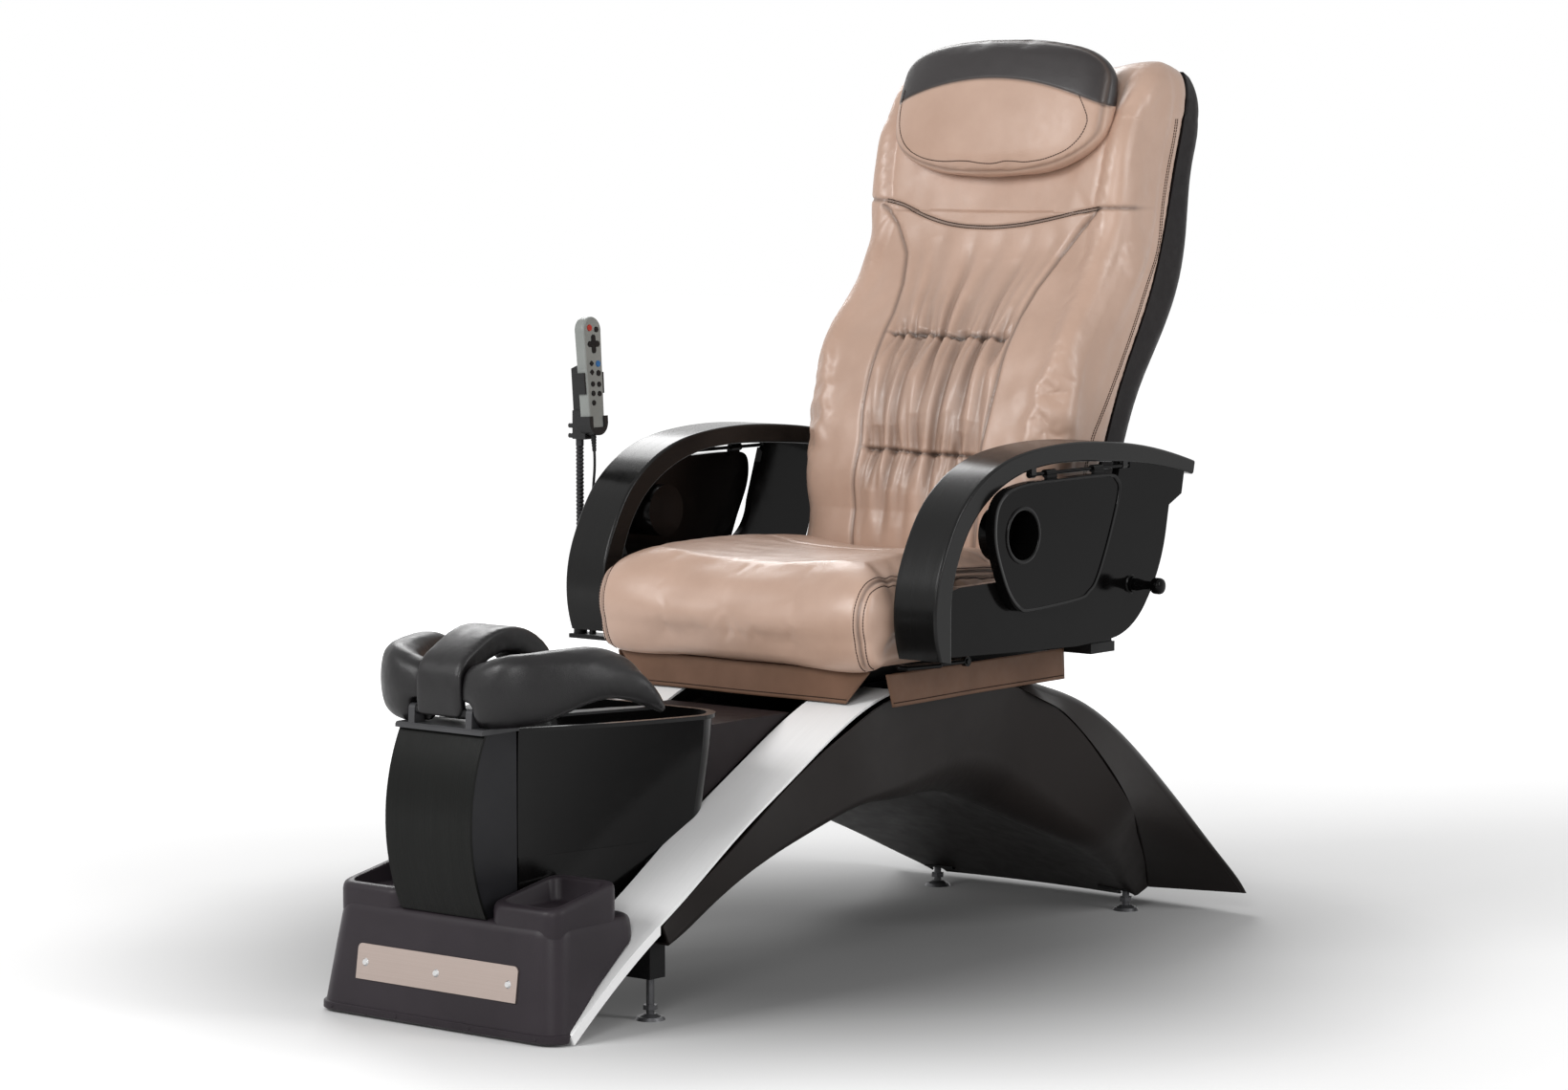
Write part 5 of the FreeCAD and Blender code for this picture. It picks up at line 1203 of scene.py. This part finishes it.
def trimmed(piece, profile, half):
    """Cuts away what lies inside a prism, given by its profile of (station, height) points."""
    rings = [[from_station(x, y, z) for y, z in profile] for x in (-half, half)]
    cutter = new_piece("cutter", *skinned(rings))
    modified(piece, "BOOLEAN", operation="DIFFERENCE", solver="EXACT", object=cutter)
    bpy.data.objects.remove(cutter)
    edged(piece)


print("moulding tools ready")

# %% Tub
TUB_LEVELS = [
    (0.005, 0.2350, -0.0010, 0.200, 0.034), (0.014, 0.2338, 0.0003, 0.200, 0.034),
    (0.105, 0.2230, 0.0130, 0.205, 0.036), (0.150, 0.2177, 0.0192, 0.2072, 0.038),
    (0.1575, 0.2160, 0.0210, 0.2072, 0.038), (0.1620, 0.2130, 0.0240, 0.2050, 0.036),
    (0.1645, 0.2090, 0.0280, 0.2020, 0.034), (0.1650, 0.2040, 0.0330, 0.1980, 0.030),
]
ARCH_CUT = [(0.020, -0.05), (0.030, 0.012), (0.098, 0.071), (0.166, 0.119), (0.258, 0.174), (0.260, -0.05)]
CUT_HALF = 0.30


def tub_ring(z, half, front, rear, radius):
    return [from_station(x, y, z) for x, y in rounded(half, front, rear, radius)]


tub = new_piece("tub_shell", *skinned([tub_ring(*level) for level in TUB_LEVELS]))
trimmed(tub, ARCH_CUT, CUT_HALF)
print("tub faces", len(tub.data.polygons))

# %% Tray pods
POD_MIDDLE, POD_HALF, POD_FRONT, POD_REAR = 0.1500, 0.0645, 0.0235, 0.168
POD_TOP, POD_RISE = 0.1895, 0.19
# From the foot of a pod inwards: inset, depth below its sloping top, or else a level.
POD_EDGE = [(0.0, None, 0.150), (0.0, 0.011, None), (0.0007, 0.006, None), (0.0025, 0.0022, None),
            (0.0060, 0.0003, None), (0.0120, 0.0, None), (0.0140, 0.0010, None), (0.0155, 0.0045, None),
            (0.0185, None, 0.183), (0.0215, None, 0.179), (0.0260, None, 0.178)]


def pod_rings(side):
    rings = []
    for inset, below, level in POD_EDGE:
        outline = rounded(POD_HALF - inset, POD_FRONT + inset, POD_REAR - inset, 0.024 - 0.55 * inset,
                          side * POD_MIDDLE)
        ring = []
        for x, y in outline:
            top = POD_TOP + (y - POD_FRONT) * POD_RISE
            ring.append(from_station(x, y, level if below is None else top - below))
        rings.append(ring)
    return rings


pod_verts, pod_faces = skinned(pod_rings(1))
more_verts, more_faces = skinned(pod_rings(-1), first=len(pod_verts))
pods = new_piece("tray_pods", pod_verts + more_verts, pod_faces + more_faces)
for piece in (tub, pods):
    finished(piece, "plum_plastic", "base_plum", "base", "front_base")
print("pods with", len(pods.data.polygons), "faces")

# %% Lower wall of the basin
# A level: its height, and the half widths in front, in the middle and at the widest place.
BASIN_LEVELS = [(0.150, 0.0795, 0.0985, 0.1105), (0.190, 0.0803, 0.1022, 0.1155),
                (0.245, 0.0812, 0.1080, 0.1247)]
COLUMN_REAR = 0.0965
BASIN_REAR = 0.3300
BASIN_STEPS = 24


def basin_ring(z, front, waist, widest):
    """The basin's level outline in front: it leaves the column narrow and swells backwards."""
    right = []
    for k in range(BASIN_STEPS + 1):
        t = k / BASIN_STEPS
        x = (1 - t) * (1 - 2 * t) * front + 4 * t * (1 - t) * waist + t * (2 * t - 1) * widest
        right.append((x, COLUMN_REAR + (BASIN_REAR - COLUMN_REAR) * t))
    left = [(-x, y) for x, y in reversed(right)]
    return [from_station(x, y, z) for x, y in right + left]


basin_wall = new_piece("basin_lower_wall", *skinned([basin_ring(*level) for level in BASIN_LEVELS]))
finished(basin_wall, "basin_gloss", "basin_dark", "base")
print("basin wall", len(basin_wall.data.polygons), "faces")

# %% [markdown]
# The folding trays have a thin raised rim that catches the light, and a ring round the cup
# holder. A rim follows a closed outline, so its small section is repeated along the same
# outline at a few sizes and joined into a ring. The knobs that lock the arms are turned on a
# lathe, and so is the round boss on the arm panel that each of them comes out of.

# %% Tray rims
TRAY_FACE = 0.3840
TRAY_OUTLINE = [(0.874, 0.744), (0.925, 0.751), (1.000, 0.752), (1.130, 0.752), (1.158, 0.744),
                (1.164, 0.722), (1.135, 0.647), (1.104, 0.588), (1.082, 0.569), (1.051, 0.559),
                (0.927, 0.552), (0.896, 0.557), (0.868, 0.582), (0.846, 0.622), (0.831, 0.665),
                (0.832, 0.706), (0.846, 0.730)]
TRAY_HEART = (0.998, 0.655)
# Each point of the rim's section: the size of the outline there, and how far out it lies.
RIM_SECTION = [(0.993, -0.0005), (0.993, 0.0012), (0.988, 0.0020), (0.958, 0.0020), (0.951, 0.0012),
               (0.951, -0.0005)]


def rounded_line(points, steps=6):
    """A closed smooth line through all the points (Catmull-Rom)."""
    line = []
    for k in range(len(points)):
        p0, p1, p2, p3 = (np.array(points[(k + d) % len(points)]) for d in (-1, 0, 1, 2))
        for s in range(steps):
            t = s / steps
            line.append(0.5 * (2 * p1 + (p2 - p0) * t + (2 * p0 - 5 * p1 + 4 * p2 - p3) * t * t
                               + (3 * p1 - p0 - 3 * p2 + p3) * t ** 3))
    return line


def tray_rim(side, word):
    line = rounded_line(TRAY_OUTLINE)
    heart = np.array(TRAY_HEART)
    rings = []
    for scale, out in RIM_SECTION:
        rings.append([from_station(side * (TRAY_FACE + out), *(heart + (p - heart) * scale)) for p in line])
    piece = new_piece("tray_rim_" + word, *skinned(rings, ends=False))
    finished(piece, "rim_gloss", "arm_black", "tray_" + word[0])


# %% Turned pieces
CUP_CENTRE = (0.906, 0.671)
CUP_RING = [(0.3838, 0.0383), (0.3856, 0.0388), (0.3862, 0.0400), (0.3862, 0.0425), (0.3856, 0.0437),
            (0.3838, 0.0442)]
KNOB_CENTRE = (1.218, 0.571)
KNOB_PROFILE = [(0.3320, 0.0039), (0.3756, 0.0039), (0.3758, 0.0095), (0.3790, 0.0100), (0.3820, 0.0095),
                (0.3940, 0.0070), (0.4080, 0.0066), (0.4100, 0.0080), (0.4115, 0.0118), (0.4140, 0.0130),
                (0.4230, 0.0130), (0.4262, 0.0118), (0.4280, 0.0085), (0.4288, 0.0030)]
BOSS_PROFILE = [(0.3300, 0.0060), (0.3300, 0.0250), (0.3500, 0.0235), (0.3640, 0.0190), (0.3700, 0.0130),
                (0.3700, 0.0060)]


def turned(profile, centre, side, steps=40):
    """Rings of a lathe shape about a line along X, one for each (x, radius) of the profile."""
    station, height = centre
    angles = [2 * math.pi * k / steps for k in range(steps)]
    return [[from_station(side * x, station + radius * math.cos(a), height + radius * math.sin(a))
             for a in angles] for x, radius in profile]


def lathed(name, profile, centre, side):
    return new_piece(name, *skinned(turned(profile, centre, side)), smooth_below=50.0)


def cup_ring(side, word):
    piece = new_piece("cup_ring_" + word, *skinned(turned(CUP_RING, CUP_CENTRE, side, 64), ends=False))
    finished(piece, "rim_gloss", "arm_black", "tray_" + word[0])


for side, word in ((1, "left"), (-1, "right")):
    tray_rim(side, word)
    cup_ring(side, word)
    knob = lathed("lock_knob_" + word, KNOB_PROFILE, KNOB_CENTRE, side)
    finished(knob, "arm_gloss", "screw_steel", "knob_" + word, "pull_knob_" + word)
    boss = lathed("lock_boss_" + word, BOSS_PROFILE, KNOB_CENTRE, side)
    finished(boss, "arm_gloss", "arm_black", "arm_" + word)
print("trays and knobs ready")

# %% [markdown]
# Rivets repeat like stitches, so a second tree of the same kind makes them: it stands a low
# round head on every given spot, turned to face one way.

# %% Rivets
HEAD_TAPER = 0.62           # the top of a head against its foot


def rivet_tree():
    t = PlacingTree("rivets", "Spots", "Heads", ("Radius", "Height"), ("Facing",))
    head = t.node("GeometryNodeMeshCone")
    head.inputs["Vertices"].default_value = 20
    narrow = t.node("ShaderNodeMath", operation="MULTIPLY")
    narrow.inputs[1].default_value = HEAD_TAPER
    t.link(t.given["Radius"], head.inputs["Radius Bottom"])
    t.link(t.given["Radius"], narrow.inputs[0])
    t.link(narrow.outputs[0], head.inputs["Radius Top"])
    t.link(t.given["Height"], head.inputs["Depth"])
    t.stand(head.outputs["Mesh"], t.given["Spots"], t.given["Facing"])
    return t


RIVETS = rivet_tree()
RIVET_SPOTS = [from_station(x, -0.0016, 0.0105) for x in (-0.200, -0.072, 0.072, 0.200)]
values = {"Radius": 0.0042, "Height": 0.0022, "Facing": (0, -1, 0.05), "Finish": FINISHES["plum_plastic"]}
rivets = RIVETS.run_on(mesh_object("strip_rivets", RIVET_SPOTS, [], []), values)
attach(rivets, "base")
print("strip rivets", len(RIVET_SPOTS), "heads")

# %% Strip along the toe
STRIP_SECTION = [(-0.0012, 0.0040), (-0.0030, 0.0055), (-0.0026, 0.0150), (-0.0008, 0.0165),
                 (0.0040, 0.0165), (0.0040, 0.0040)]
STRIP_CORNER = 0.034
STRIP_HALF, STRIP_REAR, STRIP_END = 0.2350, 0.260, 0.100


def toe_strip():
    """A moulded lip round the foot of the tub: one section carried along its front and sides."""
    outline = rounded(STRIP_HALF, 0.0, STRIP_REAR, STRIP_CORNER)
    front = [(x, y) for x, y in outline if y < STRIP_END]
    rings = []
    for x, y in sorted(front, key=lambda p: math.atan2(p[0], STRIP_END - p[1])):
        aside = max(0.0, (abs(x) - (STRIP_HALF - STRIP_CORNER)) / STRIP_CORNER)
        away = np.array((math.copysign(aside, x), -max(0.0, (STRIP_CORNER - y) / STRIP_CORNER)))
        away /= max(np.linalg.norm(away), 1e-6)
        rings.append([from_station(*(np.array((x, y)) - away * out), z) for out, z in STRIP_SECTION])
    return rings


strip = new_piece("toe_strip", *skinned(toe_strip()))
trimmed(strip, ARCH_CUT, CUT_HALF)
finished(strip, "plum_plastic", "base_plum", "base")
print("strip", len(strip.data.polygons), "faces")

# %% [markdown]
# The studio is a white floor and a white world with four large soft lamps: a strong one and a
# weaker one in front, one at the side and one behind. Cameras and mirrors see the world white,
# while the light it gives the chair is weak and plain. Seen directly, the floor has a second
# colour: a painted shadow, darker close to the chair, and a glow that grows further away,
# so that it ends in the white of the horizon.

# %% Floor, world and lamps
WORLD_LIGHT = 0.30
FLOOR_SIZE = 40.0
FLOOR_GLOW = 0.02           # beside the chair, where the lamps add their light
FAR_GLOW = 0.76             # far away, where they hardly reach
GLOW_SPAN = (1.0, 5.0)
PAINTED_SHADOW_SPAN = (0.30, 1.25)
PAINTED_SHADOW_COLOUR = 0.27         # the colour of the painted shadow under the chair
FLOOR_COLOUR = 0.80


def seen_directly(tree):
    """One where the camera, a mirror or glass looks, nought for light that bounces."""
    path = tree.nodes.new("ShaderNodeLightPath")
    total = path.outputs["Is Camera Ray"]
    for label in ("Is Glossy Ray", "Is Transmission Ray"):
        sum_node = tree.nodes.new("ShaderNodeMath")
        sum_node.operation = "MAXIMUM"
        tree.links.new(total, sum_node.inputs[0])
        tree.links.new(path.outputs[label], sum_node.inputs[1])
        total = sum_node.outputs[0]
    return total


world = bpy.data.worlds.new("studio")
world.use_nodes = True
scene.world = world
sky = world.node_tree
dim = sky.nodes["Background"]
dim.inputs["Color"].default_value = (1, 1, 1, 1)
dim.inputs["Strength"].default_value = WORLD_LIGHT
white = sky.nodes.new("ShaderNodeBackground")
white.inputs["Color"].default_value = (1, 1, 1, 1)
either = sky.nodes.new("ShaderNodeMixShader")
sky.links.new(seen_directly(sky), either.inputs["Fac"])
sky.links.new(dim.outputs[0], either.inputs[1])
sky.links.new(white.outputs[0], either.inputs[2])
sky.links.new(either.outputs[0], sky.nodes["World Output"].inputs["Surface"])


def floor_finish():
    f = Finish("floor_white")
    f.tree.nodes.remove(f.shader)
    matt = f.node("ShaderNodeBsdfDiffuse")
    matt.inputs["Color"].default_value = (FLOOR_COLOUR, FLOOR_COLOUR, FLOOR_COLOUR, 1)
    clean = f.node("ShaderNodeBsdfDiffuse")
    glow = f.node("ShaderNodeEmission")
    both = f.node("ShaderNodeAddShader")
    either = f.node("ShaderNodeMixShader")
    reach = f.node("ShaderNodeVectorMath", operation="LENGTH")
    f.link(f.place, reach.inputs[0])
    away = reach.outputs["Value"]
    # painted shadow: seen directly, the floor is darker close to the chair
    shade = f.spread(away, *PAINTED_SHADOW_SPAN, PAINTED_SHADOW_COLOUR, 1.0, interpolation_type="SMOOTHSTEP")
    f.link(shade, clean.inputs["Color"])
    f.link(f.spread(away, *GLOW_SPAN, FLOOR_GLOW, FAR_GLOW), glow.inputs["Strength"])
    f.link(clean.outputs[0], both.inputs[0])
    f.link(glow.outputs[0], both.inputs[1])
    f.link(seen_directly(f.tree), either.inputs["Fac"])
    f.link(matt.outputs[0], either.inputs[1])
    f.link(both.outputs[0], either.inputs[2])
    f.link(either.outputs[0], f.tree.nodes["Material Output"].inputs["Surface"])
    return f.material


half = FLOOR_SIZE / 2
corners = [(-half, -half, 0), (half, -half, 0), (half, half, 0), (-half, half, 0)]
floor = mesh_object("floor", corners, [], [(0, 1, 2, 3)])
floor.data.materials.append(floor_finish())


def lamp(name, place, aim, size, power):
    light = bpy.data.lights.new(name, "AREA")
    light.shape = "RECTANGLE"
    light.size, light.size_y = size
    light.energy = power
    made = new_object(name, light)
    made.location = place
    made.rotation_euler = (Vector(aim) - Vector(place)).to_track_quat("-Z", "Y").to_euler()


lamp("key_softbox", (-1.4, -4.4, 3.2), (0.0, 0.0, 0.6), (2.4, 2.0), 150.0)
lamp("front_softbox", (2.4, -4.0, 2.4), (0.0, 0.0, 0.6), (1.2, 1.8), 60.0)
lamp("side_softbox", (4.2, 0.6, 2.2), (0.0, 0.2, 0.6), (1.2, 2.4), 60.0)
lamp("rear_softbox", (-3.2, 2.6, 3.4), (0.0, 0.3, 0.8), (2.0, 2.0), 80.0)
print("studio ready")
